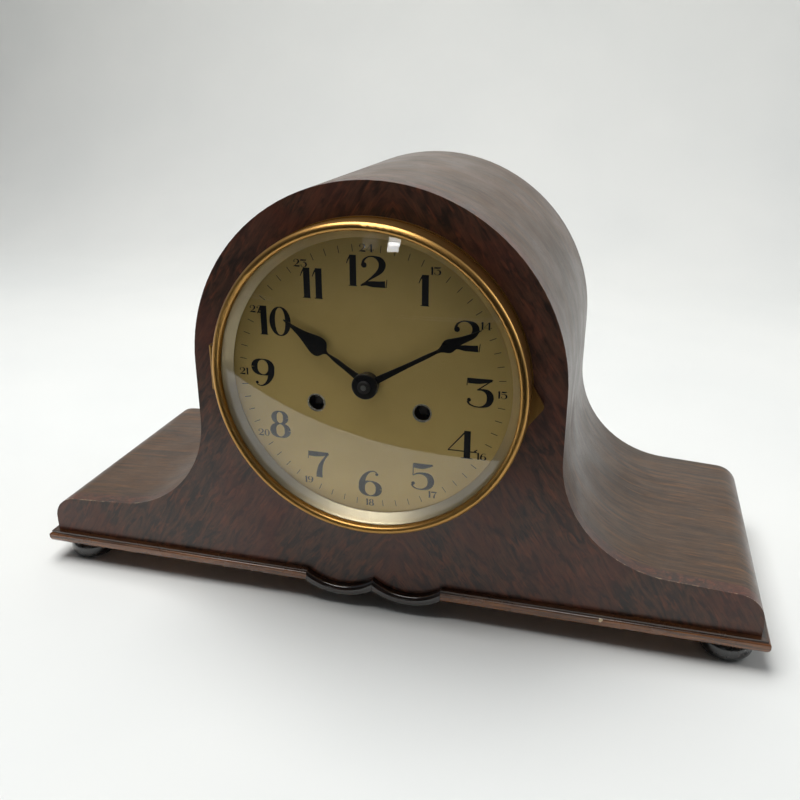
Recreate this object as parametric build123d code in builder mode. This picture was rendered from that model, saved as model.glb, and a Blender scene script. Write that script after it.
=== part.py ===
from build123d import *
import math
import os

os.makedirs("parts", exist_ok=True)

# All sizes are in millimetres. +Z is up, the dial faces -Y, and the feet stand on Z = 0.

# ---- case: outside shape ----
case_half_width = 209.0
case_depth = 155.0
body_bottom = 20.0
arch_radius = 101.5
arch_height = 141.5
flank_radius = 62.5
flank_height = 107.7
shoulder_radius = 14.5
shoulder_height = 28.7

# ---- case: boards ----
front_thick = 9.0
wrap_thick = 6.0
back_thick = 8.0
base_thick = 8.0
board_gap = 0.1
base_inset = 9.0

# ---- base moulding and the pair of lobes under the dial ----
moulding_reach = 4.5
moulding_quirk_reach = 3.2
moulding_quirk_height = 1.3
moulding_lower_round = 4.4
moulding_upper_round = 1.1
lobe_width = 40.0
lobe_drop = 7.0
lobe_lap = 0.5
bead_height = 6.5
bead_reach = 5.0
bead_back = 4.0
bead_round = 3.1
bead_cut = 0.1

# ---- feet ----
foot_radius = 14.0
foot_height = 12.0
foot_round = 5.2
foot_x = 194.5
foot_depth_front = 13.3
foot_screw_radius = 1.9
foot_screw_head_radius = 3.6
foot_screw_head_thick = 2.0
foot_recess = 4.0
foot_recess_radius = 4.0
foot_screw_bite = 6.5
screw_clearance = 0.2

# ---- glue blocks inside the base ----
block_side = 14.0
block_length = 52.0
block_round = 1.5

# ---- back door ----
door_half_width = 75.0
door_bottom = 42.0
door_gap = 0.8
door_hinge_heights = (66.0, 124.0)
door_knuckle = 8.0
door_knuckle_gap = 0.3
door_barrel_radius = 1.9
door_pin_radius = 0.9
door_leaf_thick = 1.0
door_leaf_width = 12.0
door_knob_radius = 5.0
door_knob_stem_radius = 2.6
door_knob_reach = 9.0
door_knob_round = 2.25
door_knob_x = -64.0
running_gap = 0.05

# ---- dial ----
dial_radius = 78.0
dial_front = 4.8
dial_thick = 0.8
aperture_radius = 62.0
winding_x = 28.8
winding_drop = 14.0
winding_hole_radius = 4.35
ferrule_wall = 0.4
ferrule_flange = 0.7
ferrule_flange_thick = 0.4
dial_centre_hole = 4.6
dial_foot_radius = 1.5
dial_foot_circle = 69.0
dial_foot_angles = (60.0, 120.0, 240.0, 300.0)
dial_nut_radius = 3.4
dial_nut_thick = 2.0
dial_foot_past_nut = 1.0

# ---- bezel: fixed ring, door ring, glass and sight ring ----
base_ring_outer = 84.6
base_ring_inner = 73.0
base_ring_thick = 1.5
base_screw_circle = 80.6
base_screw_angles = (40.0, 130.0, 220.0, 310.0)
base_screw_radius = 0.8
base_screw_head_radius = 1.5
base_screw_head_thick = 0.8
base_screw_length = 7.0
bezel_outer = 84.0
bezel_wall = 1.0
bezel_back = 1.8
bezel_crown = 16.0
bezel_shoulder = 13.0
bezel_lip_front = 14.2
bezel_crown_radius = 81.9
bezel_lip = 79.7
bezel_seat = 12.2
glass_radius = 82.8
glass_edge_thick = 1.15
glass_gap = 0.05
glass_rise = 21.0
glass_thick = 1.6
glass_flat_radius = 79.4
sight_inner = 75.0
sight_back = 5.2
sight_thick = 0.6
sight_foot = 1.0
sight_flange_back = 10.2
sight_flange_radius = 80.3
tab_drop = 5.5
tab_reach = 7.0
tab_half_height = 12.0
tab_tip_round = 3.5
tab_thick = 1.2

# ---- bezel hinge at nine o'clock ----
bezel_hinge_x = -88.3
bezel_hinge_front = 4.0
bezel_barrel_radius = 1.6
bezel_pin_radius = 0.8
bezel_hinge_height = 25.0
bezel_knuckle_gap = 0.3
bezel_leaf_thick = 1.2

# ---- hands ----
hour_hand_front = 7.8
hand_thick = 0.8
hour_boss_radius = 6.2
hour_boss_front = 8.6
minute_hand_front = 10.1
minute_boss_radius = 6.9
minute_boss_front = 12.0
hour_angle = -55.0
minute_angle = 60.0
hand_nut_radius = 3.4
hand_nut_front = 13.4
hand_nut_round = 0.6
hand_gap = 0.3
# (distance from the centre, half width) down one side of each blade
hour_blade = (
    (5.0, 1.8),
    (14.0, 1.25),
    (22.0, 0.85),
    (26.6, 0.95),
    (27.9, 2.9),
    (29.3, 4.6),
    (31.5, 5.2),
    (34.5, 4.7),
    (38.5, 3.3),
    (43.5, 1.8),
    (49.0, 0.8),
    (54.0, 0.2),
)
minute_blade = (
    (5.0, 1.9),
    (16.0, 1.5),
    (30.0, 1.1),
    (40.0, 0.95),
    (45.0, 1.3),
    (47.2, 2.6),
    (49.0, 3.4),
    (51.5, 3.1),
    (55.5, 2.0),
    (61.0, 0.95),
    (65.0, 0.45),
    (68.0, 0.15),
)

# ---- movement: plates and pillars ----
plate_gap_to_panel = 3.0
plate_thick = 2.5
plate_spacing = 40.0
plate_half_width = 54.0
plate_top = 48.0
plate_low = -43.0
plate_corner = 5.0
pillar_places = ((48.0, 42.0), (-48.0, 42.0), (48.0, -37.0), (-48.0, -37.0))
pillar_radius = 3.0
pillar_tenon_radius = 1.5
pillar_nut_radius = 3.2
pillar_nut_thick = 2.2
strap_half_length = 82.0
strap_height = 12.0
strap_screw_x = 75.0
strap_screw_radius = 1.4
strap_screw_head_radius = 3.0
strap_screw_head_thick = 1.5
strap_screw_bite = 6.0
pivot_radius = 0.7

# ---- wheels: tooth counts, modules and planes, from the inside of the front plate ----
barrel_teeth = 80
barrel_module = 0.6
barrel_drum_radius = 21.0
barrel_drum_wall = 1.2
barrel_wheel_plane = (5.5, 8.0)
barrel_drum_end = 30.0
winding_arbor_radius = 3.0
winding_square = 4.4
winding_square_front = 1.0
ratchet_teeth = 20
ratchet_radius = 8.0
ratchet_depth = 1.3
ratchet_lead = 1.5
ratchet_thick = 1.8
ratchet_stand = 0.6
click_pivot = (10.6, 9.2)
click_tip = (-1.6, 9.1)
click_hub_radius = 2.6
click_width = 1.7
click_thick = 1.6
stud_radius = 1.2

second_pinion_leaves = 10
second_teeth = 60
second_module = 0.45
second_wheel_plane = (32.0, 33.2)
centre_pinion_leaves = 12
centre_teeth = 72
centre_module = 0.4
centre_wheel_plane = (36.0, 37.2)
centre_arbor_radius = 1.5
third_pinion_leaves = 8
third_teeth = 75
third_module = 0.35
third_wheel_plane = (20.0, 21.0)
escape_pinion_leaves = 8
escape_height = 27.0
escape_teeth = 30
escape_radius = 10.0
escape_depth = 2.2
# where a tooth's tip ends and its root starts and ends, as shares of one tooth
escape_tip_end = 0.083
escape_root_start = 0.333
escape_root_end = 0.833
escape_wheel_plane = (12.0, 13.2)
arbor_radius = 1.0
hub_radius = 2.4
rim_width = 1.9
spoke_width = 1.6
spoke_count = 4
spoke_start = 45.0
wheel_share = 0.47
wheel_addendum = 1.1
wheel_dedendum = 1.1
pinion_share = 0.40
pinion_addendum = 0.65
pinion_dedendum = 1.5
tip_heights = (0.45, 1.0)
centre_pipe_wall = 0.5
centre_pipe_past = 1.3

strike_second_angle = 80.0
strike_pin_leaves = 8
strike_pin_teeth = 70
strike_pin_plane = (24.0, 25.0)
strike_pin_angle = 100.0
fly_leaves = 8
fly_angle = 60.0
fly_half_width = 8.0
fly_plane = (6.0, 18.0)
fly_thick = 0.8

# ---- motion work behind the dial, from the outside of the front plate towards the dial ----
cannon_leaves = 12
minute_wheel_teeth = 36
motion_module = 0.5
minute_pinion_leaves = 10
hour_wheel_teeth = 40
minute_wheel_plane = (1.5, 2.7)
hour_wheel_plane = (4.2, 5.4)
cannon_radius = 2.2
hour_pipe_radius = 3.3
pipe_gap = 0.08

# ---- pallets, crutch and pendulum ----
pallet_plane = (11.4, 13.8)
pallet_outline = (
    (0.0, 2.6),
    (4.8, 1.4),
    (9.6, -3.4),
    (9.8, -5.9),
    (8.15, -5.95),
    (6.6, -3.2),
    (3.2, -1.4),
    (0.0, -1.9),
)
crutch_stand = 1.5
crutch_thick = 1.4
crutch_length = 30.0
crutch_width = 3.0
fork_gap = 0.4
fork_wall = 1.2
pendulum_stand = 7.5
rod_thick = 1.6
rod_width = 2.4
rod_length = 132.0
rod_eye_radius = 2.4
bob_radius = 17.0
bob_section = ((0.0, 3.5), (6.0, 3.25), (11.0, 2.6), (15.0, 1.8), (17.0, 1.2))
bob_drop = 108.0
bob_slot_gap = 0.1
rating_nut_radius = 4.0
rating_nut_thick = 3.0
cock_half_width = 7.0
cock_foot = (44.2, 47.8)
cock_thick = 2.0
cock_tongue_width = 4.0
suspension_pin_radius = 0.8

# ---- strike hammers and gong ----
hammer_stud_place = (-34.0, -36.0)
hammer_stud_radius = 1.5
hammer_planes = (19.0, 26.0)
hammer_thick = 2.6
hammer_hub_radius = 3.4
hammer_arm_width = 2.6
hammer_reach = 38.0
hammer_head_radius = 3.0
hammer_head_length = 12.0
hammer_rest_gap = 2.5
gong_rod_radius = 1.5
gong_rod_height = 66.0
gong_rod_end = -88.0
gong_block_x = 62.0
gong_block_width = 20.0
gong_block_depth = 30.0
gong_block_round = 2.0
gong_block_top = 76.0

# ---- levels that follow from the sizes above ----
back_reach = max(door_leaf_thick + 2 * door_barrel_radius, door_knob_reach)
face_y = (glass_rise - case_depth - back_reach) / 2
moulding_bottom = body_bottom - base_thick
plate_outer = front_thick + plate_gap_to_panel
plate_inner = plate_outer + plate_thick
back_plate_inner = plate_inner + plate_spacing
back_plate_outer = back_plate_inner + plate_thick
same_place = 0.01
bisection_steps = 60


# ---- sketch planes and small helpers ----
def facing(depth, x=0.0, z=0.0):
    """A sketch plane looking forward, this far behind the case front; x, z from the dial centre."""
    return Plane(
        origin=(x, face_y + depth, arch_height + z), x_dir=(1, 0, 0), z_dir=(0, -1, 0)
    )


def floor_facing(depth):
    """The same plane with its origin at floor level."""
    return Plane(origin=(0, face_y + depth, 0), x_dir=(1, 0, 0), z_dir=(0, -1, 0))


def turning(x=0.0, z=0.0):
    """A plane through an axis that runs front to back: sketch x is the radius, sketch y the depth."""
    return Plane(
        origin=(x, face_y, arch_height + z), x_dir=(1, 0, 0), z_dir=(0, 0, 1)
    )


def depth_axis(x=0.0, z=0.0):
    """The axis that runs front to back at this place."""
    return Axis((x, face_y, arch_height + z), (0, 1, 0))


def on_circle(radius, degrees, centre=(0.0, 0.0)):
    """A point on a circle, as a pair."""
    angle = math.radians(degrees)
    return (
        centre[0] + radius * math.cos(angle),
        centre[1] + radius * math.sin(angle),
    )


def mesh_place(first, first_reach, second, second_reach, left):
    """Where an arbor stands that is first_reach from one arbor and second_reach from another."""
    dx = second[0] - first[0]
    dz = second[1] - first[1]
    span = math.hypot(dx, dz)
    along = (first_reach**2 - second_reach**2 + span**2) / (2 * span)
    aside = math.sqrt(first_reach**2 - along**2)
    side = 1.0 if left else -1.0
    return (
        first[0] + (along * dx - side * aside * dz) / span,
        first[1] + (along * dz + side * aside * dx) / span,
    )


def heading(first, second):
    """The direction in radians from one arbor to another."""
    return math.atan2(second[1] - first[1], second[0] - first[0])


def disc(depth, thick, radius, x=0.0, z=0.0, mode=Mode.ADD):
    """A round slab whose back is at depth and whose front is thick nearer the dial."""
    with BuildSketch(facing(depth, x, z), mode=Mode.PRIVATE) as round_face:
        Circle(radius)
    extrude(round_face.sketch, amount=thick, mode=mode)


def inner_disc(span, radius, place, mode=Mode.ADD):
    """A round slab between two planes measured from the inside of the front plate."""
    disc(plate_inner + span[1], span[1] - span[0], radius, place[0], place[1], mode)


# ---- case profile ----
def case_profile(inset, bottom):
    """Draw the arched outline, moved in from the outside by inset, closed along a bottom level."""
    flank = (arch_radius + flank_radius, flank_height)
    shoulder = (case_half_width - shoulder_radius, shoulder_height)
    span = math.dist(flank, shoulder)
    lean = math.atan2(flank[1] - shoulder[1], flank[0] - shoulder[0])
    normal = lean - math.acos((flank_radius + shoulder_radius) / span)
    slope = math.degrees(normal)
    round_in = shoulder_radius - inset
    hollow = flank_radius + inset
    side = case_half_width - inset
    crown = arch_radius - inset
    right = [
        (side, bottom),
        (side, shoulder_height),
        on_circle(round_in, slope / 2, shoulder),
        on_circle(round_in, slope, shoulder),
        on_circle(hollow, slope + 180.0, flank),
        on_circle(hollow, (slope + 360.0) / 2, flank),
        (crown, flank_height),
        (crown, arch_height),
    ]
    left = [(-x, z) for x, z in reversed(right)]
    Line(right[0], right[1])
    ThreePointArc(right[1], right[2], right[3])
    Line(right[3], right[4])
    ThreePointArc(right[4], right[5], right[6])
    Line(right[6], right[7])
    ThreePointArc(right[7], (0, arch_height + crown), left[0])
    Line(left[0], left[1])
    ThreePointArc(left[1], left[2], left[3])
    Line(left[3], left[4])
    ThreePointArc(left[4], left[5], left[6])
    Line(left[6], left[7])
    Line(left[7], right[0])


def door_profile(inset):
    """Draw the arched door outline, moved in from the opening by inset."""
    half = door_half_width - inset
    bottom = door_bottom + inset
    Line((-half, bottom), (half, bottom))
    Line((half, bottom), (half, arch_height))
    ThreePointArc((half, arch_height), (0, arch_height + half), (-half, arch_height))
    Line((-half, arch_height), (-half, bottom))


lobe_radius = ((lobe_width / 2) ** 2 + lobe_drop**2) / (2 * lobe_drop)
lobe_centre = body_bottom - lobe_drop + lobe_radius
lobe_places = ((-lobe_width / 2, lobe_centre), (lobe_width / 2, lobe_centre))
dial_foot_places = [on_circle(dial_foot_circle, a) for a in dial_foot_angles]
base_screw_places = [on_circle(base_screw_circle, a) for a in base_screw_angles]
strap_levels = (pillar_places[0][1], pillar_places[2][1])
strap_screw_places = [
    (x, z) for x in (-strap_screw_x, strap_screw_x) for z in strap_levels
]
winding_places = ((winding_x, -winding_drop), (-winding_x, -winding_drop))
time_place = winding_places[0]
strike_place = winding_places[1]

# ---- front panel ----
with BuildPart() as front_panel:
    with BuildSketch(floor_facing(front_thick)):
        with BuildLine():
            case_profile(0.0, body_bottom)
        make_face()
        for lobe_x, lobe_z in lobe_places:
            with BuildSketch(mode=Mode.PRIVATE) as lobe:
                with Locations((lobe_x, lobe_z)):
                    Circle(lobe_radius)
                with Locations((lobe_x, body_bottom - lobe_drop)):
                    lobe_reach = 2 * (lobe_drop + lobe_lap)
                    Rectangle(lobe_width, lobe_reach, mode=Mode.INTERSECT)
            add(lobe.sketch)
    extrude(amount=front_thick)
    disc(front_thick, front_thick, aperture_radius, mode=Mode.SUBTRACT)
    with BuildSketch(facing(front_thick)):
        with Locations(*dial_foot_places):
            Circle(dial_foot_radius + screw_clearance)
    extrude(amount=front_thick, mode=Mode.SUBTRACT)
    with BuildSketch(facing(base_screw_length)):
        with Locations(*base_screw_places):
            Circle(base_screw_radius)
    extrude(amount=base_screw_length, mode=Mode.SUBTRACT)
    with BuildSketch(facing(front_thick)):
        with Locations(*strap_screw_places):
            Circle(strap_screw_radius)
    extrude(amount=strap_screw_bite, mode=Mode.SUBTRACT)
front_panel.part.label = "front_panel"
export_step(front_panel.part, "parts/front_panel.step")

# ---- bent wrap behind the front panel ----
with BuildPart() as case_wrap:
    with BuildSketch(floor_facing(case_depth)):
        with BuildLine():
            case_profile(0.0, body_bottom)
        make_face()
        with BuildSketch(mode=Mode.PRIVATE) as wrap_hollow:
            with BuildLine():
                case_profile(wrap_thick, body_bottom)
            make_face()
        add(wrap_hollow.sketch, mode=Mode.SUBTRACT)
    extrude(amount=case_depth - front_thick)
case_wrap.part.label = "case_wrap"
export_step(case_wrap.part, "parts/case_wrap.step")

# ---- back frame inside the wrap, with the door opening ----
with BuildPart() as back_frame:
    with BuildSketch(floor_facing(case_depth)):
        with BuildLine():
            case_profile(wrap_thick + board_gap, body_bottom)
        make_face()
        with BuildSketch(mode=Mode.PRIVATE) as door_opening:
            with BuildLine():
                door_profile(0.0)
            make_face()
        add(door_opening.sketch, mode=Mode.SUBTRACT)
    extrude(amount=back_thick)
back_frame.part.label = "back_frame"
export_step(back_frame.part, "parts/back_frame.step")

# ---- base board ----
foot_ys = (face_y + foot_depth_front, face_y + case_depth - foot_depth_front)
foot_places = [(x, y) for x in (-foot_x, foot_x) for y in foot_ys]
base_half = case_half_width - base_inset
base_front = face_y + front_thick
base_back = face_y + case_depth

with BuildPart() as base_board:
    with BuildSketch(Plane.XY.offset(moulding_bottom)):
        with Locations((0, (base_front + base_back) / 2)):
            Rectangle(2 * base_half, base_back - base_front)
        with Locations(*foot_places):
            Circle(foot_screw_radius, mode=Mode.SUBTRACT)
    extrude(amount=base_thick)
base_board.part.label = "base_board"
export_step(base_board.part, "parts/base_board.step")


# ---- moulding round the base: two front lengths and two mitred ends ----
def moulding_length(footprint, rebate_centre, rebate_size):
    """One length: a plan outline with a thin set-back quirk along the top of its outer edge."""
    with BuildSketch(Plane.XY.offset(moulding_bottom), mode=Mode.PRIVATE) as plan:
        Polygon(*footprint, align=None)
    extrude(plan.sketch, amount=base_thick)
    quirk_level = Plane.XY.offset(body_bottom - moulding_quirk_height)
    with BuildSketch(quirk_level, mode=Mode.PRIVATE) as rebate:
        with Locations(rebate_centre):
            Rectangle(*rebate_size)
    extrude(rebate.sketch, amount=moulding_quirk_height, mode=Mode.SUBTRACT)


front_out = face_y - moulding_reach
end_out = case_half_width + moulding_reach
mitre_front = (end_out, front_out)
mitre_back = (base_half, base_front)
right_front_plan = [
    (lobe_width, front_out),
    mitre_front,
    mitre_back,
    (lobe_width, base_front),
]
right_end_plan = [mitre_front, (end_out, base_back), (base_half, base_back), mitre_back]


def outer_edges(part, axis, side, level_low, level_high):
    """Long horizontal edges on the outer face of a length, between two levels."""
    along = Axis.X if axis == "y" else Axis.Y
    found = []
    for edge in part.edges().filter_by(along):
        centre = edge.center()
        place = centre.Y if axis == "y" else centre.X
        if abs(place - side) < same_place and level_low < centre.Z < level_high:
            found.append(edge)
    return found


def round_moulding(part, axis, side):
    """Round the lower and the upper outer edges of a length."""
    low = moulding_bottom
    high = body_bottom - moulding_quirk_height
    middle = (low + high) / 2
    lower = outer_edges(part, axis, side, low - same_place, middle)
    fillet(lower, moulding_lower_round)
    upper = outer_edges(part, axis, side, middle, high + same_place)
    fillet(upper, moulding_upper_round)


quirk_step = moulding_reach - moulding_quirk_reach
front_rebate = (2 * end_out, 2 * quirk_step)
end_rebate = (2 * quirk_step, 2 * case_depth)
with BuildPart() as moulding_front:
    moulding_length(right_front_plan, (0, front_out), front_rebate)
    moulding_length([(-x, y) for x, y in right_front_plan], (0, front_out), front_rebate)
    round_moulding(moulding_front, "y", front_out)
moulding_front.part.label = "moulding_front"
export_step(moulding_front.part, "parts/moulding_front.step")

with BuildPart() as moulding_ends:
    moulding_length(right_end_plan, (end_out, 0), end_rebate)
    moulding_length([(-x, y) for x, y in right_end_plan], (-end_out, 0), end_rebate)
    round_moulding(moulding_ends, "x", end_out)
    round_moulding(moulding_ends, "x", -end_out)
moulding_ends.part.label = "moulding_ends"
export_step(moulding_ends.part, "parts/moulding_ends.step")


# ---- half-round beads under the two lobes, with a fine cut between them ----
with BuildPart() as lobe_beads:
    with BuildSketch(floor_facing(bead_back)):
        for lobe_x, lobe_z in lobe_places:
            with BuildSketch(mode=Mode.PRIVATE) as bead:
                with Locations((lobe_x, lobe_z)):
                    Circle(lobe_radius + bead_height)
                    Circle(lobe_radius, mode=Mode.SUBTRACT)
                with Locations((lobe_x, body_bottom - lobe_radius)):
                    Rectangle(
                        lobe_width - bead_cut, 2 * lobe_radius, mode=Mode.INTERSECT
                    )
            add(bead.sketch)
    extrude(amount=bead_back + bead_reach)
    bead_front = face_y - bead_reach
    round_edges = lobe_beads.edges().filter_by(GeomType.CIRCLE)
    front_edges = [e for e in round_edges if abs(e.center().Y - bead_front) < same_place]
    fillet(front_edges, bead_round)
lobe_beads.part.label = "lobe_beads"
export_step(lobe_beads.part, "parts/lobe_beads.step")

# ---- four turned bun feet ----
with BuildPart() as feet:
    with BuildSketch(Plane.XY):
        with Locations(*foot_places):
            Circle(foot_radius)
    extrude(amount=foot_height)
    fillet(feet.edges().filter_by(GeomType.CIRCLE), foot_round)
    with BuildSketch(Plane.XY):
        with Locations(*foot_places):
            Circle(foot_recess_radius)
    extrude(amount=foot_recess, mode=Mode.SUBTRACT)
    with BuildSketch(Plane.XY):
        with Locations(*foot_places):
            Circle(foot_screw_radius + screw_clearance)
    extrude(amount=foot_height, mode=Mode.SUBTRACT)
feet.part.label = "feet"
export_step(feet.part, "parts/feet.step")

# ---- glue blocks in the four corners of the base ----
block_x = base_half - block_side / 2
block_y_places = (
    base_front + block_length / 2,
    base_back - back_thick - block_length / 2,
)
with BuildPart() as glue_blocks:
    with BuildSketch(Plane.XY.offset(body_bottom)):
        with Locations(*[(s * block_x, y) for s in (-1, 1) for y in block_y_places]):
            Rectangle(block_side, block_length)
    extrude(amount=block_side)
    fillet(glue_blocks.edges().filter_by(Axis.Y).group_by(Axis.Z)[-1], block_round)
glue_blocks.part.label = "glue_blocks"
export_step(glue_blocks.part, "parts/glue_blocks.step")

# ---- back door ----
with BuildPart() as back_door:
    with BuildSketch(floor_facing(case_depth)):
        with BuildLine():
            door_profile(door_gap)
        make_face()
    extrude(amount=back_thick)
back_door.part.label = "back_door"
export_step(back_door.part, "parts/back_door.step")

# ---- door hinges: knuckles turn about an upright pin just behind the boards ----
door_hinge_x = door_half_width - door_gap / 2
door_hinge_depth = case_depth + door_barrel_radius + 2 * running_gap
door_hinge_place = (door_hinge_x, face_y + door_hinge_depth)
door_plate_start = door_barrel_radius + door_knuckle_gap
door_hinge_tall = 3 * door_knuckle + 2 * door_knuckle_gap
door_leaf_y = face_y + case_depth + door_leaf_thick / 2


def door_knuckle_at(level, side, hole):
    """One knuckle with the strip of leaf that carries it."""
    with BuildSketch(Plane.XY.offset(level), mode=Mode.PRIVATE) as barrel:
        with Locations((door_hinge_x + side * door_plate_start / 2, door_leaf_y)):
            Rectangle(door_plate_start, door_leaf_thick)
        with Locations(door_hinge_place):
            Circle(door_barrel_radius)
            if hole:
                Circle(hole, mode=Mode.SUBTRACT)
    extrude(barrel.sketch, amount=door_knuckle)


def door_leaf_at(level, side):
    """The flat of a leaf, full height, clear of the barrel."""
    middle = (door_plate_start + door_leaf_width) / 2
    with BuildSketch(Plane.XY.offset(level), mode=Mode.PRIVATE) as leaf:
        with Locations((door_hinge_x + side * middle, door_leaf_y)):
            Rectangle(door_leaf_width - door_plate_start, door_leaf_thick)
    extrude(leaf.sketch, amount=door_hinge_tall)


with BuildPart() as door_hinges_fixed:
    for level in door_hinge_heights:
        door_leaf_at(level, 1)
        door_knuckle_at(level, 1, 0.0)
        door_knuckle_at(level + 2 * (door_knuckle + door_knuckle_gap), 1, 0.0)
        with BuildSketch(Plane.XY.offset(level)):
            with Locations(door_hinge_place):
                Circle(door_pin_radius)
        extrude(amount=door_hinge_tall)
with BuildPart() as door_hinges_moving:
    for level in door_hinge_heights:
        door_leaf_at(level, -1)
        middle_level = level + door_knuckle + door_knuckle_gap
        door_knuckle_at(middle_level, -1, door_pin_radius + running_gap)
for hinge_name, hinge in (
    ("door_hinges_fixed", door_hinges_fixed),
    ("door_hinges_moving", door_hinges_moving),
):
    hinge.part.label = hinge_name
    export_step(hinge.part, f"parts/{hinge_name}.step")

# ---- door knob ----
door_knob_height = (door_hinge_heights[0] + door_hinge_heights[1]) / 2
with BuildPart() as door_knob:
    with BuildSketch(facing(case_depth, door_knob_x, door_knob_height - arch_height)):
        Circle(door_knob_stem_radius)
    extrude(amount=-door_knob_reach / 2)
    knob_depth = case_depth + door_knob_reach / 2
    with BuildSketch(facing(knob_depth, door_knob_x, door_knob_height - arch_height)):
        Circle(door_knob_radius)
    extrude(amount=-door_knob_reach / 2)
    fillet(door_knob.edges().sort_by(Axis.Y)[-1:], door_knob_round)
door_knob.part.label = "door_knob"
export_step(door_knob.part, "parts/door_knob.step")

# ---- fixed ring round the dial, screwed to the front panel ----
with BuildPart() as base_ring:
    with BuildSketch(facing(0)):
        Circle(base_ring_outer)
        Circle(base_ring_inner, mode=Mode.SUBTRACT)
        with Locations(*base_screw_places):
            Circle(base_screw_radius, mode=Mode.SUBTRACT)
    extrude(amount=base_ring_thick)
    with BuildSketch(facing(-base_ring_thick)):
        with Locations(*base_screw_places):
            Circle(base_screw_head_radius)
    extrude(amount=-base_screw_head_thick, mode=Mode.SUBTRACT)
base_ring.part.label = "base_ring"
export_step(base_ring.part, "parts/base_ring.step")

# ---- dial: a shallow pan that stands on the fixed ring ----
dial_deep = dial_front - base_ring_thick
with BuildPart() as dial_plate:
    disc(-base_ring_thick, dial_deep, dial_radius)
    disc(
        -base_ring_thick,
        dial_deep - dial_thick,
        dial_radius - dial_thick,
        mode=Mode.SUBTRACT,
    )
    with BuildSketch(facing(-base_ring_thick)):
        Circle(dial_centre_hole)
        with Locations(*winding_places):
            Circle(winding_hole_radius + ferrule_wall)
    extrude(amount=dial_deep, mode=Mode.SUBTRACT)
dial_plate.part.label = "dial_plate"
export_step(dial_plate.part, "parts/dial_plate.step")

with BuildPart() as winding_ferrules:
    with BuildSketch(facing(dial_thick - dial_front)):
        with Locations(*winding_places):
            Circle(winding_hole_radius + ferrule_wall)
            Circle(winding_hole_radius, mode=Mode.SUBTRACT)
    extrude(amount=dial_thick)
    with BuildSketch(facing(-dial_front)):
        with Locations(*winding_places):
            Circle(winding_hole_radius + ferrule_flange)
            Circle(winding_hole_radius, mode=Mode.SUBTRACT)
    extrude(amount=ferrule_flange_thick)
winding_ferrules.part.label = "winding_ferrules"
export_step(winding_ferrules.part, "parts/winding_ferrules.step")

# ---- feet riveted to the dial, each with its nut behind the front panel ----
dial_foot_end = front_thick + dial_nut_thick + dial_foot_past_nut
with BuildPart() as dial_feet:
    with BuildSketch(facing(dial_foot_end)):
        with Locations(*dial_foot_places):
            Circle(dial_foot_radius)
    extrude(amount=dial_foot_end + dial_front - dial_thick)
    with BuildSketch(facing(front_thick + dial_nut_thick)):
        with Locations(*dial_foot_places):
            RegularPolygon(dial_nut_radius, 6)
            Circle(dial_foot_radius + running_gap, mode=Mode.SUBTRACT)
    extrude(amount=dial_nut_thick)
dial_feet.part.label = "dial_feet"
export_step(dial_feet.part, "parts/dial_feet.step")


# ---- bezel door: ring, glass, sight ring, tab ----
def quarter_middle(centre, across, deep):
    """The middle of a quarter of an ellipse, as a pair."""
    return (
        centre[0] + across * math.cos(math.pi / 4),
        centre[1] + deep * math.sin(math.pi / 4),
    )


crown_outside = quarter_middle(
    (bezel_crown_radius, -bezel_shoulder),
    bezel_outer - bezel_crown_radius,
    bezel_shoulder - bezel_crown,
)
crown_inside = quarter_middle(
    (bezel_crown_radius, -bezel_lip_front),
    bezel_lip - bezel_crown_radius,
    bezel_lip_front - bezel_crown,
)
with BuildPart() as bezel_ring:
    with BuildSketch(turning()):
        with BuildLine():
            Polyline(
                (bezel_outer - bezel_wall, -bezel_back),
                (bezel_outer, -bezel_back),
                (bezel_outer, -bezel_shoulder),
            )
            ThreePointArc(
                (bezel_outer, -bezel_shoulder),
                crown_outside,
                (bezel_crown_radius, -bezel_crown),
            )
            ThreePointArc(
                (bezel_crown_radius, -bezel_crown),
                crown_inside,
                (bezel_lip, -bezel_lip_front),
            )
            Polyline(
                (bezel_lip, -bezel_lip_front),
                (bezel_lip, -bezel_seat),
                (bezel_outer - bezel_wall, -bezel_seat),
                (bezel_outer - bezel_wall, -bezel_back),
            )
        make_face()
    revolve(axis=depth_axis())
bezel_ring.part.label = "bezel_ring"
export_step(bezel_ring.part, "parts/bezel_ring.step")


def dome_ball(top, rim_radius, rim_level, mode=Mode.ADD):
    """A ball whose front stands at top and which is rim_radius wide at the rim's level."""
    rise = top - rim_level
    ball = (rim_radius**2 + rise**2) / (2 * rise)
    with Locations((0, face_y - top + ball, arch_height)):
        Sphere(ball, mode=mode)


glass_front_rim = bezel_seat - glass_gap
glass_back_rim = glass_front_rim - glass_edge_thick
glass_inner_rise = glass_rise - glass_thick
glass_inner_flat = glass_flat_radius - glass_edge_thick
with BuildPart() as bezel_glass:
    dome_ball(glass_rise, glass_flat_radius, glass_front_rim)
    disc(-glass_front_rim, glass_rise, glass_radius, mode=Mode.INTERSECT)
    disc(-glass_back_rim, glass_edge_thick, glass_radius)
    dome_ball(glass_inner_rise, glass_inner_flat, glass_back_rim, Mode.SUBTRACT)
bezel_glass.part.label = "bezel_glass"
export_step(bezel_glass.part, "parts/bezel_glass.step")

sight_front = glass_back_rim - glass_gap
with BuildPart() as sight_ring:
    with BuildSketch(turning()):
        with BuildLine():
            Polyline(
                (sight_inner, -sight_back),
                (sight_inner + sight_foot, -sight_back),
                (sight_flange_radius, -sight_flange_back),
                (glass_radius, -sight_flange_back),
                (glass_radius, -sight_front),
                (bezel_lip, -sight_front),
                (sight_inner, -sight_back - sight_thick),
                (sight_inner, -sight_back),
            )
        make_face()
    revolve(axis=depth_axis())
sight_ring.part.label = "sight_ring"
export_step(sight_ring.part, "parts/sight_ring.step")

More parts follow.
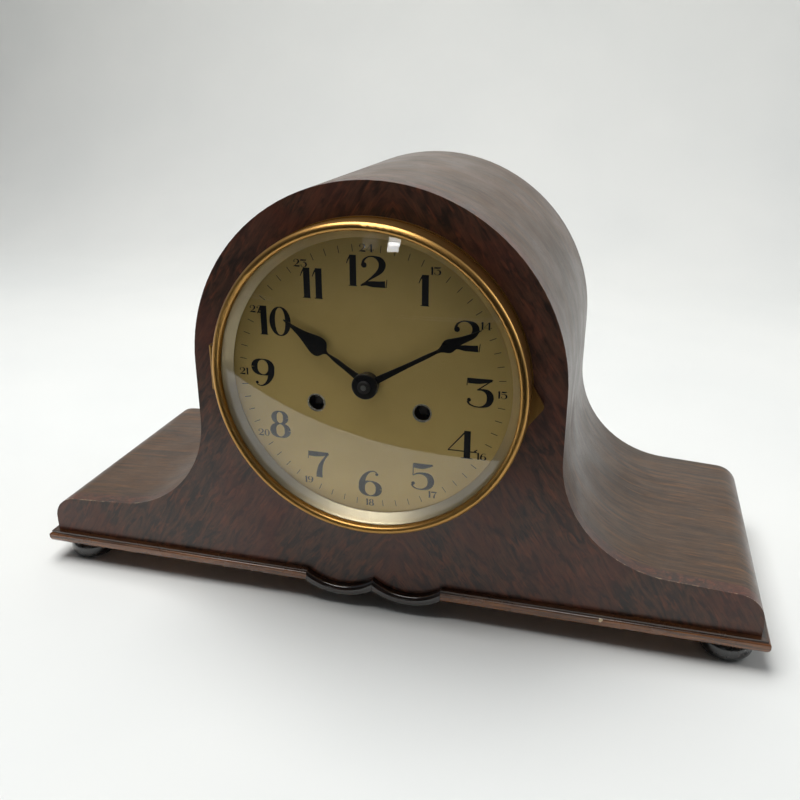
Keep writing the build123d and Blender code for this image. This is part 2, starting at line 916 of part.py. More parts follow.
with BuildPart() as bezel_tab:
    with BuildSketch(facing(-bezel_back)) as bezel_tab_face:
        tab_top = tab_half_height - tab_drop
        tab_low = -tab_half_height - tab_drop
        Polygon(
            (0, 0),
            (math.sqrt(bezel_outer**2 - tab_low**2), tab_low),
            (bezel_outer + tab_reach, -tab_drop),
            (math.sqrt(bezel_outer**2 - tab_top**2), tab_top),
            align=None,
        )
        fillet(bezel_tab_face.vertices().sort_by(Axis.X)[-1:], tab_tip_round)
        Circle(bezel_outer, mode=Mode.SUBTRACT)
    extrude(amount=tab_thick)
bezel_tab.part.label = "bezel_tab"
export_step(bezel_tab.part, "parts/bezel_tab.step")

# ---- bezel hinge: an upright pin beside the ring at nine o'clock ----
bezel_hinge_y = face_y - bezel_hinge_front
bezel_hinge_place = (bezel_hinge_x, bezel_hinge_y)
bezel_hinge_low = arch_height - bezel_hinge_height / 2
bezel_knuckle = (bezel_hinge_height - 2 * bezel_knuckle_gap) / 3
bezel_levels = [
    bezel_hinge_low + k * (bezel_knuckle + bezel_knuckle_gap) for k in range(3)
]
hinge_outside_x = bezel_hinge_x - bezel_barrel_radius
hinge_plate_y = face_y - bezel_leaf_thick / 2
with BuildPart() as bezel_hinge_fixed:
    with BuildSketch(Plane.XY.offset(bezel_hinge_low)):
        plate_middle = (hinge_outside_x - bezel_outer + moulding_reach) / 2
        with Locations((plate_middle, hinge_plate_y)):
            Rectangle(
                -bezel_outer + moulding_reach - hinge_outside_x, bezel_leaf_thick
            )
    extrude(amount=bezel_hinge_height)
    disc(0.0, bezel_hinge_front, base_ring_outer, mode=Mode.SUBTRACT)
    for level in (bezel_levels[0], bezel_levels[2]):
        with BuildSketch(Plane.XY.offset(level)):
            web_x = hinge_outside_x + bezel_leaf_thick / 2
            with Locations((web_x, (face_y + bezel_hinge_y) / 2)):
                Rectangle(bezel_leaf_thick, bezel_hinge_front)
            with Locations(bezel_hinge_place):
                Circle(bezel_barrel_radius)
                Circle(bezel_pin_radius, mode=Mode.SUBTRACT)
        extrude(amount=bezel_knuckle)
with BuildPart() as bezel_hinge_moving:
    leaf_start = bezel_hinge_x + bezel_barrel_radius + bezel_knuckle_gap
    leaf_end = -bezel_outer + moulding_reach
    with BuildSketch(Plane.XY.offset(bezel_hinge_low)):
        with Locations(((leaf_start + leaf_end) / 2, bezel_hinge_y)):
            Rectangle(leaf_end - leaf_start, bezel_leaf_thick)
    extrude(amount=bezel_hinge_height)
    disc(0.0, bezel_crown, bezel_outer, mode=Mode.SUBTRACT)
    with BuildSketch(Plane.XY.offset(bezel_levels[1])):
        with Locations(((bezel_hinge_x + leaf_start) / 2, bezel_hinge_y)):
            Rectangle(leaf_start - bezel_hinge_x, bezel_leaf_thick)
        with Locations(bezel_hinge_place):
            Circle(bezel_barrel_radius)
            Circle(bezel_pin_radius + running_gap, mode=Mode.SUBTRACT)
    extrude(amount=bezel_knuckle)
with BuildPart() as bezel_hinge_pin:
    with BuildSketch(Plane.XY.offset(bezel_hinge_low)):
        with Locations(bezel_hinge_place):
            Circle(bezel_pin_radius)
    extrude(amount=bezel_hinge_height)
for hinge_name, hinge in (
    ("bezel_hinge_fixed", bezel_hinge_fixed),
    ("bezel_hinge_moving", bezel_hinge_moving),
    ("bezel_hinge_pin", bezel_hinge_pin),
):
    hinge.part.label = hinge_name
    export_step(hinge.part, f"parts/{hinge_name}.step")


# ---- hands ----
def hand_blade(blade, clock_degrees):
    """Draw the closed outline of a blade that points to this clock angle."""
    turn = math.radians(clock_degrees)
    sides = []
    for sign in (1.0, -1.0):
        sides.append(
            [
                (
                    along * math.sin(turn) + sign * half * math.cos(turn),
                    along * math.cos(turn) - sign * half * math.sin(turn),
                )
                for along, half in blade
            ]
        )
    Spline(*sides[0])
    Line(sides[0][-1], sides[1][-1])
    Spline(*sides[1])
    Line(sides[1][0], sides[0][0])


with BuildPart() as hour_hand:
    with BuildSketch(facing(hand_thick - hour_hand_front)):
        with BuildLine():
            hand_blade(hour_blade, hour_angle)
        make_face()
    extrude(amount=hand_thick)
    hour_boss_back = dial_front + hand_thick
    disc(-hour_boss_back, hour_boss_front - hour_boss_back, hour_boss_radius)
    disc(0.0, hour_boss_front, hour_pipe_radius, mode=Mode.SUBTRACT)
hour_hand.part.label = "hour_hand"
export_step(hour_hand.part, "parts/hour_hand.step")

minute_boss_back = hour_boss_front + 2 * hand_gap
with BuildPart() as minute_hand:
    with BuildSketch(facing(hand_thick - minute_hand_front)):
        with BuildLine():
            hand_blade(minute_blade, minute_angle)
        make_face()
    extrude(amount=hand_thick)
    with BuildSketch(facing(-minute_boss_back)):
        Circle(minute_boss_radius)
    extrude(amount=minute_boss_front - minute_boss_back)
    boss_rims = minute_hand.edges().filter_by(GeomType.CIRCLE).sort_by(Axis.Y)
    fillet(boss_rims[0:1], hand_thick)
    disc(0.0, minute_boss_front, cannon_radius, mode=Mode.SUBTRACT)
minute_hand.part.label = "minute_hand"
export_step(minute_hand.part, "parts/minute_hand.step")

with BuildPart() as hand_nut:
    with BuildSketch(facing(-minute_boss_front)):
        Circle(hand_nut_radius)
        Circle(centre_arbor_radius, mode=Mode.SUBTRACT)
    extrude(amount=hand_nut_front - minute_boss_front)
    nut_rims = hand_nut.edges().filter_by(GeomType.CIRCLE).sort_by(SortBy.RADIUS)[-2:]
    fillet(nut_rims.sort_by(Axis.Y)[0:1], hand_nut_round)
hand_nut.part.label = "hand_nut"
export_step(hand_nut.part, "parts/hand_nut.step")


# ---- toothed wheels ----
def rolled(pitch_radius, rolling_radius, height):
    """Angle and radius of the point of a rolled curve at a height above the pitch circle."""
    low, high = 0.0, math.pi * rolling_radius / pitch_radius
    total = pitch_radius + rolling_radius
    for _ in range(bisection_steps):
        angle = (low + high) / 2
        x = total * math.cos(angle) - rolling_radius * math.cos(total / rolling_radius * angle)
        y = total * math.sin(angle) - rolling_radius * math.sin(total / rolling_radius * angle)
        if math.hypot(x, y) < pitch_radius + height:
            low = angle
        else:
            high = angle
    return math.atan2(y, x), math.hypot(x, y)


def tooth_corners(teeth, module, mate_teeth, share, addendum, dedendum, phase):
    """Corners of a wheel with rolled tips and radial flanks, one tooth centred on phase."""
    pitch_radius = teeth * module / 2
    rolling_radius = mate_teeth * module / 4
    half = math.pi * share / teeth
    root = pitch_radius - dedendum * module
    side = [(half, root), (half, pitch_radius)]
    for part_height in tip_heights:
        angle, radius = rolled(pitch_radius, rolling_radius, part_height * addendum * module)
        side.append((half - angle, radius))
    corners = []
    for k in range(teeth):
        centre = phase + 2 * math.pi * k / teeth
        tooth = [(-a, r) for a, r in side] + list(reversed(side))
        corners += [
            (r * math.cos(centre + a), r * math.sin(centre + a)) for a, r in tooth
        ]
    return corners


def wheel_body(teeth, module, mate, place, depth, thick, phase, crossed):
    """A toothed wheel, with spokes if crossed; depth is its back face."""
    root = teeth * module / 2 - wheel_dedendum * module
    with BuildSketch(facing(depth, *place), mode=Mode.PRIVATE) as face:
        corners = tooth_corners(
            teeth, module, mate, wheel_share, wheel_addendum, wheel_dedendum, phase
        )
        Polygon(*corners, align=None)
        if crossed:
            inside = root - rim_width
            Circle(inside, mode=Mode.SUBTRACT)
            Circle(hub_radius)
            for k in range(spoke_count):
                Rectangle(
                    inside + rim_width / 2,
                    spoke_width,
                    rotation=360.0 * k / spoke_count + spoke_start,
                    align=(Align.MIN, Align.CENTER),
                )
    extrude(face.sketch, amount=thick)


def pinion_body(leaves, module, mate, place, depth, thick, phase):
    """A leaf pinion; depth is its back face."""
    with BuildSketch(facing(depth, *place), mode=Mode.PRIVATE) as face:
        corners = tooth_corners(
            leaves, module, mate, pinion_share, pinion_addendum, pinion_dedendum, phase
        )
        Polygon(*corners, align=None)
    extrude(face.sketch, amount=thick)


def wheel_at(teeth, module, mate, place, span, phase, crossed=True):
    """A wheel between two planes measured from the inside of the front plate."""
    depth = plate_inner + span[1]
    wheel_body(teeth, module, mate, place, depth, span[1] - span[0], phase, crossed)


def pinion_at(leaves, module, mate, place, span, phase):
    """A pinion between two planes measured from the inside of the front plate."""
    depth = plate_inner + span[1]
    pinion_body(leaves, module, mate, place, depth, span[1] - span[0], phase)


def facing_gap(leaves, from_place, to_place):
    """The phase that turns the middle of a gap between leaves towards the driving wheel."""
    return heading(to_place, from_place) + math.pi / leaves


def around(span, extra):
    """A plane pair widened by extra on both sides."""
    return (span[0] - extra, span[1] + extra)


def reach_of(first_teeth, second_teeth, module):
    """Centre distance of two meshing wheels."""
    return (first_teeth + second_teeth) * module / 2


centre_place = (0.0, 0.0)
escape_place = (0.0, escape_height)
pallet_place = (0.0, escape_height + escape_radius * math.sqrt(2))
second_place = mesh_place(
    time_place,
    reach_of(barrel_teeth, second_pinion_leaves, barrel_module),
    centre_place,
    reach_of(second_teeth, centre_pinion_leaves, second_module),
    left=False,
)
third_place = mesh_place(
    centre_place,
    reach_of(centre_teeth, third_pinion_leaves, centre_module),
    escape_place,
    reach_of(third_teeth, escape_pinion_leaves, third_module),
    left=True,
)
strike_second_place = on_circle(
    reach_of(barrel_teeth, second_pinion_leaves, barrel_module),
    strike_second_angle,
    strike_place,
)
strike_pin_place = on_circle(
    reach_of(second_teeth, strike_pin_leaves, second_module),
    strike_pin_angle,
    strike_second_place,
)
fly_place = on_circle(
    reach_of(strike_pin_teeth, fly_leaves, third_module), fly_angle, strike_pin_place
)
motion_reach = reach_of(cannon_leaves, minute_wheel_teeth, motion_module)
motion_place = (0.0, -motion_reach)
hour_module = 2 * motion_reach / (minute_pinion_leaves + hour_wheel_teeth)
full_span = (0.0, plate_spacing)
back_pivot_span = (plate_spacing, plate_spacing + plate_thick)
front_pivot_span = (-plate_thick, 0.0)
small_arbor_places = (second_place, third_place, escape_place)
strike_arbor_places = (strike_second_place, strike_pin_place, fly_place)

# ---- straps that hold the movement behind the front panel ----
with BuildPart() as movement_straps:
    with BuildSketch(facing(plate_outer)):
        with Locations(*[(0, z) for z in strap_levels]):
            Rectangle(2 * strap_half_length, strap_height)
        with Locations(*strap_screw_places):
            Circle(strap_screw_radius + screw_clearance, mode=Mode.SUBTRACT)
        with Locations(*pillar_places):
            Circle(pillar_tenon_radius, mode=Mode.SUBTRACT)
    extrude(amount=plate_gap_to_panel)
movement_straps.part.label = "movement_straps"
export_step(movement_straps.part, "parts/movement_straps.step")

# ---- steel screws of the case: feet, dial ring and straps ----
strap_screw_end = front_thick - strap_screw_bite
with BuildPart() as case_screws:
    with BuildSketch(Plane.XY.offset(foot_recess)):
        with Locations(*foot_places):
            Circle(foot_screw_head_radius)
    extrude(amount=-foot_screw_head_thick)
    with BuildSketch(Plane.XY.offset(foot_recess)):
        with Locations(*foot_places):
            Circle(foot_screw_radius)
    extrude(amount=foot_height - foot_recess + foot_screw_bite)
    with BuildSketch(facing(-base_ring_thick)):
        with Locations(*base_screw_places):
            Circle(base_screw_head_radius)
    extrude(amount=-base_screw_head_thick)
    with BuildSketch(facing(base_screw_length)):
        with Locations(*base_screw_places):
            Circle(base_screw_radius)
    extrude(amount=base_screw_length + base_ring_thick - base_screw_head_thick)
    with BuildSketch(facing(plate_outer + strap_screw_head_thick)):
        with Locations(*strap_screw_places):
            Circle(strap_screw_head_radius)
    extrude(amount=strap_screw_head_thick)
    with BuildSketch(facing(plate_outer)):
        with Locations(*strap_screw_places):
            Circle(strap_screw_radius)
    extrude(amount=plate_outer - strap_screw_end)
case_screws.part.label = "case_screws"
export_step(case_screws.part, "parts/case_screws.step")

# ---- plates, pillars, nuts ----
click_places = [
    (side * (winding_x + click_pivot[0]), click_pivot[1] - winding_drop) for side in (1, -1)
]
pivot_hole = pivot_radius + running_gap
with BuildPart() as front_plate:
    with BuildSketch(facing(plate_inner, 0.0, (plate_top + plate_low) / 2)):
        RectangleRounded(2 * plate_half_width, plate_top - plate_low, plate_corner)
    extrude(amount=plate_thick)
    with BuildSketch(facing(plate_inner)):
        with Locations(*small_arbor_places, *strike_arbor_places, pallet_place):
            Circle(pivot_hole)
        with Locations(*winding_places):
            Circle(winding_arbor_radius + running_gap)
        with Locations(centre_place):
            Circle(centre_arbor_radius + running_gap)
        with Locations(*pillar_places):
            Circle(pillar_tenon_radius)
        with Locations(*click_places, motion_place):
            Circle(stud_radius)
    extrude(amount=plate_thick, mode=Mode.SUBTRACT)
front_plate.part.label = "front_plate"
export_step(front_plate.part, "parts/front_plate.step")

with BuildPart() as back_plate:
    with BuildSketch(facing(back_plate_outer, 0.0, (plate_top + plate_low) / 2)):
        RectangleRounded(2 * plate_half_width, plate_top - plate_low, plate_corner)
    extrude(amount=plate_thick)
    with BuildSketch(facing(back_plate_outer)):
        with Locations(*small_arbor_places, *strike_arbor_places):
            Circle(pivot_hole)
        with Locations(*winding_places):
            Circle(winding_arbor_radius + running_gap)
        with Locations(centre_place):
            Circle(centre_arbor_radius + running_gap)
        with Locations(pallet_place):
            Circle(stud_radius + running_gap)
        with Locations(*pillar_places):
            Circle(pillar_tenon_radius)
        with Locations(hammer_stud_place):
            Circle(hammer_stud_radius)
    extrude(amount=plate_thick, mode=Mode.SUBTRACT)
back_plate.part.label = "back_plate"
export_step(back_plate.part, "parts/back_plate.step")

pillar_front = front_thick + running_gap
pillar_end = back_plate_outer + pillar_nut_thick + running_gap
click_front = ratchet_stand + ratchet_thick + running_gap
stud_end = back_plate_outer + hammer_planes[1] + 2 * hammer_thick
with BuildPart() as pillars:
    with BuildSketch(facing(back_plate_inner)):
        with Locations(*pillar_places):
            Circle(pillar_radius)
    extrude(amount=plate_spacing)
    with BuildSketch(facing(pillar_end)):
        with Locations(*pillar_places):
            Circle(pillar_tenon_radius)
    extrude(amount=pillar_end - pillar_front)
    with BuildSketch(facing(plate_inner)):
        with Locations(*click_places):
            Circle(stud_radius)
    extrude(amount=plate_thick + click_front)
    with BuildSketch(facing(plate_inner)):
        with Locations(motion_place):
            Circle(stud_radius)
    extrude(amount=plate_thick + hour_wheel_plane[1] + ratchet_stand)
    disc(stud_end, stud_end - back_plate_inner, hammer_stud_radius, *hammer_stud_place)
pillars.part.label = "pillars_and_studs"
export_step(pillars.part, "parts/pillars_and_studs.step")

with BuildPart() as pillar_nuts:
    with BuildSketch(facing(back_plate_outer + pillar_nut_thick)):
        with Locations(*pillar_places):
            RegularPolygon(pillar_nut_radius, 6)
            Circle(pillar_tenon_radius, mode=Mode.SUBTRACT)
    extrude(amount=pillar_nut_thick)
pillar_nuts.part.label = "pillar_nuts"
export_step(pillar_nuts.part, "parts/pillar_nuts.step")

# ---- barrels with their great wheels, winding arbors and clicks ----
drum_span = (barrel_wheel_plane[1], barrel_drum_end)
spring_room = (barrel_wheel_plane[1] + barrel_drum_wall, barrel_drum_end - barrel_drum_wall)
barrel_mates = {"time": second_place, "strike": strike_second_place}
for barrel_name, barrel_place in (("time", time_place), ("strike", strike_place)):
    with BuildPart() as barrel:
        wheel_at(
            barrel_teeth,
            barrel_module,
            second_pinion_leaves,
            barrel_place,
            barrel_wheel_plane,
            heading(barrel_place, barrel_mates[barrel_name]),
            crossed=False,
        )
        inner_disc(drum_span, barrel_drum_radius, barrel_place)
        spring_radius = barrel_drum_radius - barrel_drum_wall
        inner_disc(spring_room, spring_radius, barrel_place, mode=Mode.SUBTRACT)
        bore = winding_arbor_radius + running_gap
        inner_disc(full_span, bore, barrel_place, mode=Mode.SUBTRACT)
    barrel.part.label = f"{barrel_name}_barrel"
    export_step(barrel.part, f"parts/{barrel_name}_barrel.step")

ratchet_back = plate_outer - ratchet_stand
ratchet_front = ratchet_back - ratchet_thick
for side, arbor_name in ((1, "time"), (-1, "strike")):
    arbor_place = (side * winding_x, -winding_drop)
    teeth = []
    for k in range(ratchet_teeth):
        step = 360.0 / ratchet_teeth
        teeth.append(on_circle(ratchet_radius, side * k * step))
        teeth.append(on_circle(ratchet_radius - ratchet_depth, side * (k * step + ratchet_lead)))
    with BuildPart() as winding_arbor:
        disc(
            plate_inner + back_pivot_span[1],
            plate_inner + back_pivot_span[1] - ratchet_front,
            winding_arbor_radius,
            *arbor_place,
        )
        with BuildSketch(facing(ratchet_back, *arbor_place)):
            Polygon(*teeth, align=None)
        extrude(amount=ratchet_thick)
        with BuildSketch(facing(ratchet_front, *arbor_place)):
            Rectangle(winding_square, winding_square)
        extrude(amount=ratchet_front + winding_square_front)
    winding_arbor.part.label = f"{arbor_name}_winding_arbor"
    export_step(winding_arbor.part, f"parts/{arbor_name}_winding_arbor.step")

    hub = (side * (winding_x + click_pivot[0]), click_pivot[1] - winding_drop)
    tip = (side * (winding_x + click_tip[0]), click_tip[1] - winding_drop)
    click_span = math.dist(hub, tip)
    with BuildPart() as click:
        with BuildSketch(facing(ratchet_back, *hub)):
            Circle(click_hub_radius)
            with Locations(((tip[0] - hub[0]) / 2, (tip[1] - hub[1]) / 2)):
                Rectangle(click_span, click_width)
            Circle(stud_radius + running_gap, mode=Mode.SUBTRACT)
        extrude(amount=click_thick)
    click.part.label = f"{arbor_name}_click"
    export_step(click.part, f"parts/{arbor_name}_click.step")


# ---- train wheels, each with its pinion on a turned arbor ----
def arbor_body(place, front_span, back_span):
    """A thin arbor between the plates with a pivot at each end."""
    middle = (full_span[0] + hand_gap, full_span[1] - hand_gap)
    inner_disc(middle, arbor_radius, place)
    inner_disc((front_span[0], middle[0]), pivot_radius, place)
    inner_disc((middle[1], back_span[1]), pivot_radius, place)


with BuildPart() as second_wheel:
    arbor_body(second_place, front_pivot_span, back_pivot_span)
    pinion_at(
        second_pinion_leaves,
        barrel_module,
        barrel_teeth,
        second_place,
        around(barrel_wheel_plane, hand_gap),
        facing_gap(second_pinion_leaves, time_place, second_place),
    )
    wheel_at(
        second_teeth,
        second_module,
        centre_pinion_leaves,
        second_place,
        second_wheel_plane,
        heading(second_place, centre_place),
    )
second_wheel.part.label = "second_wheel"
export_step(second_wheel.part, "parts/second_wheel.step")

pipe_start = second_wheel_plane[0] - centre_pipe_past
centre_pipe = (pipe_start, centre_wheel_plane[1] + centre_pipe_past)
with BuildPart() as centre_wheel:
    inner_disc(centre_pipe, centre_arbor_radius + centre_pipe_wall, centre_place)
    pinion_at(
        centre_pinion_leaves,
        second_module,
        second_teeth,
        centre_place,
        around(second_wheel_plane, hand_gap),
        facing_gap(centre_pinion_leaves, second_place, centre_place),
    )
    wheel_at(
        centre_teeth,
        centre_module,
        third_pinion_leaves,
        centre_place,
        centre_wheel_plane,
        heading(centre_place, third_place),
    )
    bore = centre_arbor_radius + running_gap
    inner_disc(centre_pipe, bore, centre_place, mode=Mode.SUBTRACT)
centre_wheel.part.label = "centre_wheel"
export_step(centre_wheel.part, "parts/centre_wheel.step")

with BuildPart() as third_wheel:
    arbor_body(third_place, front_pivot_span, back_pivot_span)
    pinion_at(
        third_pinion_leaves,
        centre_module,
        centre_teeth,
        third_place,
        around(centre_wheel_plane, hand_gap),
        facing_gap(third_pinion_leaves, centre_place, third_place),
    )
    wheel_at(
        third_teeth,
        third_module,
        escape_pinion_leaves,
        third_place,
        third_wheel_plane,
        heading(third_place, escape_place),
    )
third_wheel.part.label = "third_wheel"
export_step(third_wheel.part, "parts/third_wheel.step")

escape_root = escape_radius - escape_depth
escape_corners = []
for k in range(escape_teeth):
    step = 360.0 / escape_teeth
    escape_corners.append(on_circle(escape_radius, k * step))
    escape_corners.append(on_circle(escape_radius, (k + escape_tip_end) * step))
    escape_corners.append(on_circle(escape_root, (k + escape_root_start) * step))
    escape_corners.append(on_circle(escape_root, (k + escape_root_end) * step))
with BuildPart() as escape_wheel:
    arbor_body(escape_place, front_pivot_span, back_pivot_span)
    pinion_at(
        escape_pinion_leaves,
        third_module,
        third_teeth,
        escape_place,
        around(third_wheel_plane, hand_gap),
        facing_gap(escape_pinion_leaves, third_place, escape_place),
    )
    with BuildSketch(facing(plate_inner + escape_wheel_plane[1], *escape_place)):
        Polygon(*escape_corners, align=None)
        Circle(escape_root - rim_width, mode=Mode.SUBTRACT)
        Circle(hub_radius)
        for k in range(spoke_count):
            Rectangle(
                escape_radius - escape_depth - rim_width / 2,
                spoke_width,
                rotation=360.0 * k / spoke_count,
                align=(Align.MIN, Align.CENTER),
            )
    extrude(amount=escape_wheel_plane[1] - escape_wheel_plane[0])
escape_wheel.part.label = "escape_wheel"
export_step(escape_wheel.part, "parts/escape_wheel.step")

# ---- strike train ----
with BuildPart() as strike_second_wheel:
    arbor_body(strike_second_place, front_pivot_span, back_pivot_span)
    pinion_at(
        second_pinion_leaves,
        barrel_module,
        barrel_teeth,
        strike_second_place,
        around(barrel_wheel_plane, hand_gap),
        facing_gap(second_pinion_leaves, strike_place, strike_second_place),
    )
    wheel_at(
        second_teeth,
        second_module,
        strike_pin_leaves,
        strike_second_place,
        second_wheel_plane,
        heading(strike_second_place, strike_pin_place),
    )
strike_second_wheel.part.label = "strike_second_wheel"
export_step(strike_second_wheel.part, "parts/strike_second_wheel.step")

with BuildPart() as strike_pin_wheel:
    arbor_body(strike_pin_place, front_pivot_span, back_pivot_span)
    pinion_at(
        strike_pin_leaves,
        second_module,
        second_teeth,
        strike_pin_place,
        around(second_wheel_plane, hand_gap),
        facing_gap(strike_pin_leaves, strike_second_place, strike_pin_place),
    )
    wheel_at(
        strike_pin_teeth,
        third_module,
        fly_leaves,
        strike_pin_place,
        strike_pin_plane,
        heading(strike_pin_place, fly_place),
    )
strike_pin_wheel.part.label = "strike_pin_wheel"
export_step(strike_pin_wheel.part, "parts/strike_pin_wheel.step")

with BuildPart() as strike_fly:
    arbor_body(fly_place, front_pivot_span, back_pivot_span)
    pinion_at(
        fly_leaves,
        third_module,
        strike_pin_teeth,
        fly_place,
        around(strike_pin_plane, hand_gap),
        facing_gap(fly_leaves, strike_pin_place, fly_place),
    )
    with BuildSketch(facing(plate_inner + fly_plane[1], *fly_place)):
        Rectangle(2 * fly_half_width, fly_thick)
    extrude(amount=fly_plane[1] - fly_plane[0])
strike_fly.part.label = "strike_fly"
export_step(strike_fly.part, "parts/strike_fly.step")

# ---- centre arbor and the motion work behind the dial ----
arbor_back = plate_inner + back_pivot_span[1]
with BuildPart() as centre_arbor:
    disc(arbor_back, arbor_back + hand_nut_front, centre_arbor_radius)
centre_arbor.part.label = "centre_arbor"
export_step(centre_arbor.part, "parts/centre_arbor.step")

cannon_span = (minute_wheel_plane[0] - hand_gap, minute_wheel_plane[1] + hand_gap)
with BuildPart() as cannon_pinion:
    cannon_back = plate_outer - cannon_span[0]
    disc(cannon_back, cannon_back + minute_boss_front, cannon_radius)
    pinion_body(
        cannon_leaves,
        motion_module,
        minute_wheel_teeth,
        centre_place,
        cannon_back,
        cannon_span[1] - cannon_span[0],
        facing_gap(cannon_leaves, motion_place, centre_place),
    )
    disc(cannon_back, cannon_back + minute_boss_front, centre_arbor_radius, mode=Mode.SUBTRACT)
cannon_pinion.part.label = "cannon_pinion"
export_step(cannon_pinion.part, "parts/cannon_pinion.step")

with BuildPart() as minute_wheel:
    wheel_body(
        minute_wheel_teeth,
        motion_module,
        cannon_leaves,
        motion_place,
        plate_outer - minute_wheel_plane[0],
        minute_wheel_plane[1] - minute_wheel_plane[0],
        heading(motion_place, centre_place),
        crossed=False,
    )
    pinion_body(
        minute_pinion_leaves,
        hour_module,
        hour_wheel_teeth,
        motion_place,
        plate_outer - minute_wheel_plane[1],
        hour_wheel_plane[1] + hand_gap - minute_wheel_plane[1],
        facing_gap(minute_pinion_leaves, centre_place, motion_place),
    )
    disc(
        plate_outer,
        hour_wheel_plane[1] + hand_gap,
        stud_radius + running_gap,
        *motion_place,
        mode=Mode.SUBTRACT,
    )
minute_wheel.part.label = "minute_wheel"
export_step(minute_wheel.part, "parts/minute_wheel.step")

with BuildPart() as hour_wheel:
    hour_back = plate_outer - hour_wheel_plane[0]
    wheel_body(
        hour_wheel_teeth,
        hour_module,
        minute_pinion_leaves,
        centre_place,
        hour_back,
        hour_wheel_plane[1] - hour_wheel_plane[0],
        heading(centre_place, motion_place),
        crossed=False,
    )
    disc(hour_back, hour_back + hour_boss_front, hour_pipe_radius)
    disc(hour_back, hour_back + hour_boss_front, cannon_radius + pipe_gap, mode=Mode.SUBTRACT)
hour_wheel.part.label = "hour_wheel"
export_step(hour_wheel.part, "parts/hour_wheel.step")

# ---- pallets on their arbor, and the crutch ----
crutch_front = back_plate_outer + crutch_stand
with BuildPart() as anchor:
    inner_disc((hand_gap, plate_spacing + plate_thick), stud_radius, pallet_place)
    inner_disc((-plate_thick, hand_gap), pivot_radius, pallet_place)
    arbor_end = crutch_front + crutch_thick
    disc(arbor_end, arbor_end - back_plate_outer, stud_radius, *pallet_place)
    with BuildSketch(facing(plate_inner + pallet_plane[1], *pallet_place)):
        left_side = [(-x, z) for x, z in reversed(pallet_outline[1:-1])]
        Polygon(*pallet_outline, *left_side, align=None)
    extrude(amount=pallet_plane[1] - pallet_plane[0])
anchor.part.label = "anchor"
export_step(anchor.part, "parts/anchor.step")

rod_front = back_plate_outer + pendulum_stand
rod_back = rod_front + rod_thick
fork_back = rod_back + fork_gap
fork_inner = rod_width / 2 + fork_gap
fork_foot = (crutch_length, crutch_length - crutch_width)
with BuildPart() as crutch:
    with BuildSketch(facing(crutch_front + crutch_thick, *pallet_place)):
        Circle(hub_radius)
        with Locations((0, -crutch_length / 2)):
            Rectangle(crutch_width, crutch_length)
        Circle(stud_radius, mode=Mode.SUBTRACT)
    extrude(amount=crutch_thick)
    with BuildSketch(facing(fork_back, *pallet_place)):
        with Locations((0, -(fork_foot[0] + fork_foot[1]) / 2)):
            Rectangle(2 * (fork_inner + fork_wall), crutch_width)
    extrude(amount=fork_back - crutch_front)
    with BuildSketch(facing(fork_back, *pallet_place)):
        with Locations((0, -(fork_foot[0] + fork_foot[1]) / 2)):
            Rectangle(2 * fork_inner, 2 * crutch_width)
    extrude(amount=fork_back - rod_front + fork_gap, mode=Mode.SUBTRACT)
crutch.part.label = "crutch"
export_step(crutch.part, "parts/crutch.step")

# ---- cock that carries the pendulum, behind the back plate ----
tongue_back = rod_front - fork_gap
pin_back = rod_back + fork_gap
with BuildPart() as pendulum_cock:
    cock_middle = (cock_foot[0] + cock_foot[1]) / 2
    with BuildSketch(facing(back_plate_outer + cock_thick, 0.0, cock_middle)):
        Rectangle(2 * cock_half_width, cock_foot[1] - cock_foot[0])
    extrude(amount=cock_thick)
    with BuildSketch(facing(tongue_back, 0.0, cock_foot[1] - cock_thick / 2)):
        Rectangle(2 * cock_half_width, cock_thick)
    extrude(amount=tongue_back - back_plate_outer)
    tongue_low = pallet_place[1] - hub_radius
    with BuildSketch(facing(tongue_back, 0.0, (tongue_low + cock_foot[1]) / 2)):
        Rectangle(cock_tongue_width, cock_foot[1] - tongue_low)
    extrude(amount=cock_thick)
    disc(pin_back, pin_back - tongue_back, suspension_pin_radius, *pallet_place)
pendulum_cock.part.label = "pendulum_cock"
export_step(pendulum_cock.part, "parts/pendulum_cock.step")

# ---- pendulum ----
pendulum_y = face_y + (rod_front + rod_back) / 2
with BuildPart() as pendulum_rod:
    with BuildSketch(facing(rod_back, *pallet_place)):
        Circle(rod_eye_radius)
        with Locations((0, -rod_length / 2)):
            Rectangle(rod_width, rod_length)
        Circle(suspension_pin_radius + running_gap, mode=Mode.SUBTRACT)
    extrude(amount=rod_thick)
pendulum_rod.part.label = "pendulum_rod"
export_step(pendulum_rod.part, "parts/pendulum_rod.step")

bob_place = (0.0, pallet_place[1] - bob_drop)
bob_depth = (rod_front + rod_back) / 2
with BuildPart() as pendulum_bob:
    with BuildSketch(turning(*bob_place)):
        with BuildLine():
            front_side = [(r, bob_depth - half) for r, half in bob_section]
            back_side = [(r, bob_depth + half) for r, half in reversed(bob_section)]
            Polyline(*front_side, *back_side, close=True)
        make_face()
    revolve(axis=depth_axis(*bob_place))
    with BuildSketch(facing(rod_back + bob_slot_gap, *bob_place)):
        Rectangle(rod_width + 2 * bob_slot_gap, 3 * bob_radius)
    extrude(amount=rod_thick + 2 * bob_slot_gap, mode=Mode.SUBTRACT)
pendulum_bob.part.label = "pendulum_bob"
export_step(pendulum_bob.part, "parts/pendulum_bob.step")

rating_top = arch_height + bob_place[1] - bob_radius
with BuildPart() as rating_nut:
    with BuildSketch(Plane.XY.offset(rating_top - rating_nut_thick)):
        with Locations((0, pendulum_y)):
            Circle(rating_nut_radius)
            Rectangle(
                rod_width + 2 * bob_slot_gap,
                rod_thick + 2 * bob_slot_gap,
                mode=Mode.SUBTRACT,
            )
    extrude(amount=rating_nut_thick)
rating_nut.part.label = "rating_nut"
export_step(rating_nut.part, "parts/rating_nut.step")

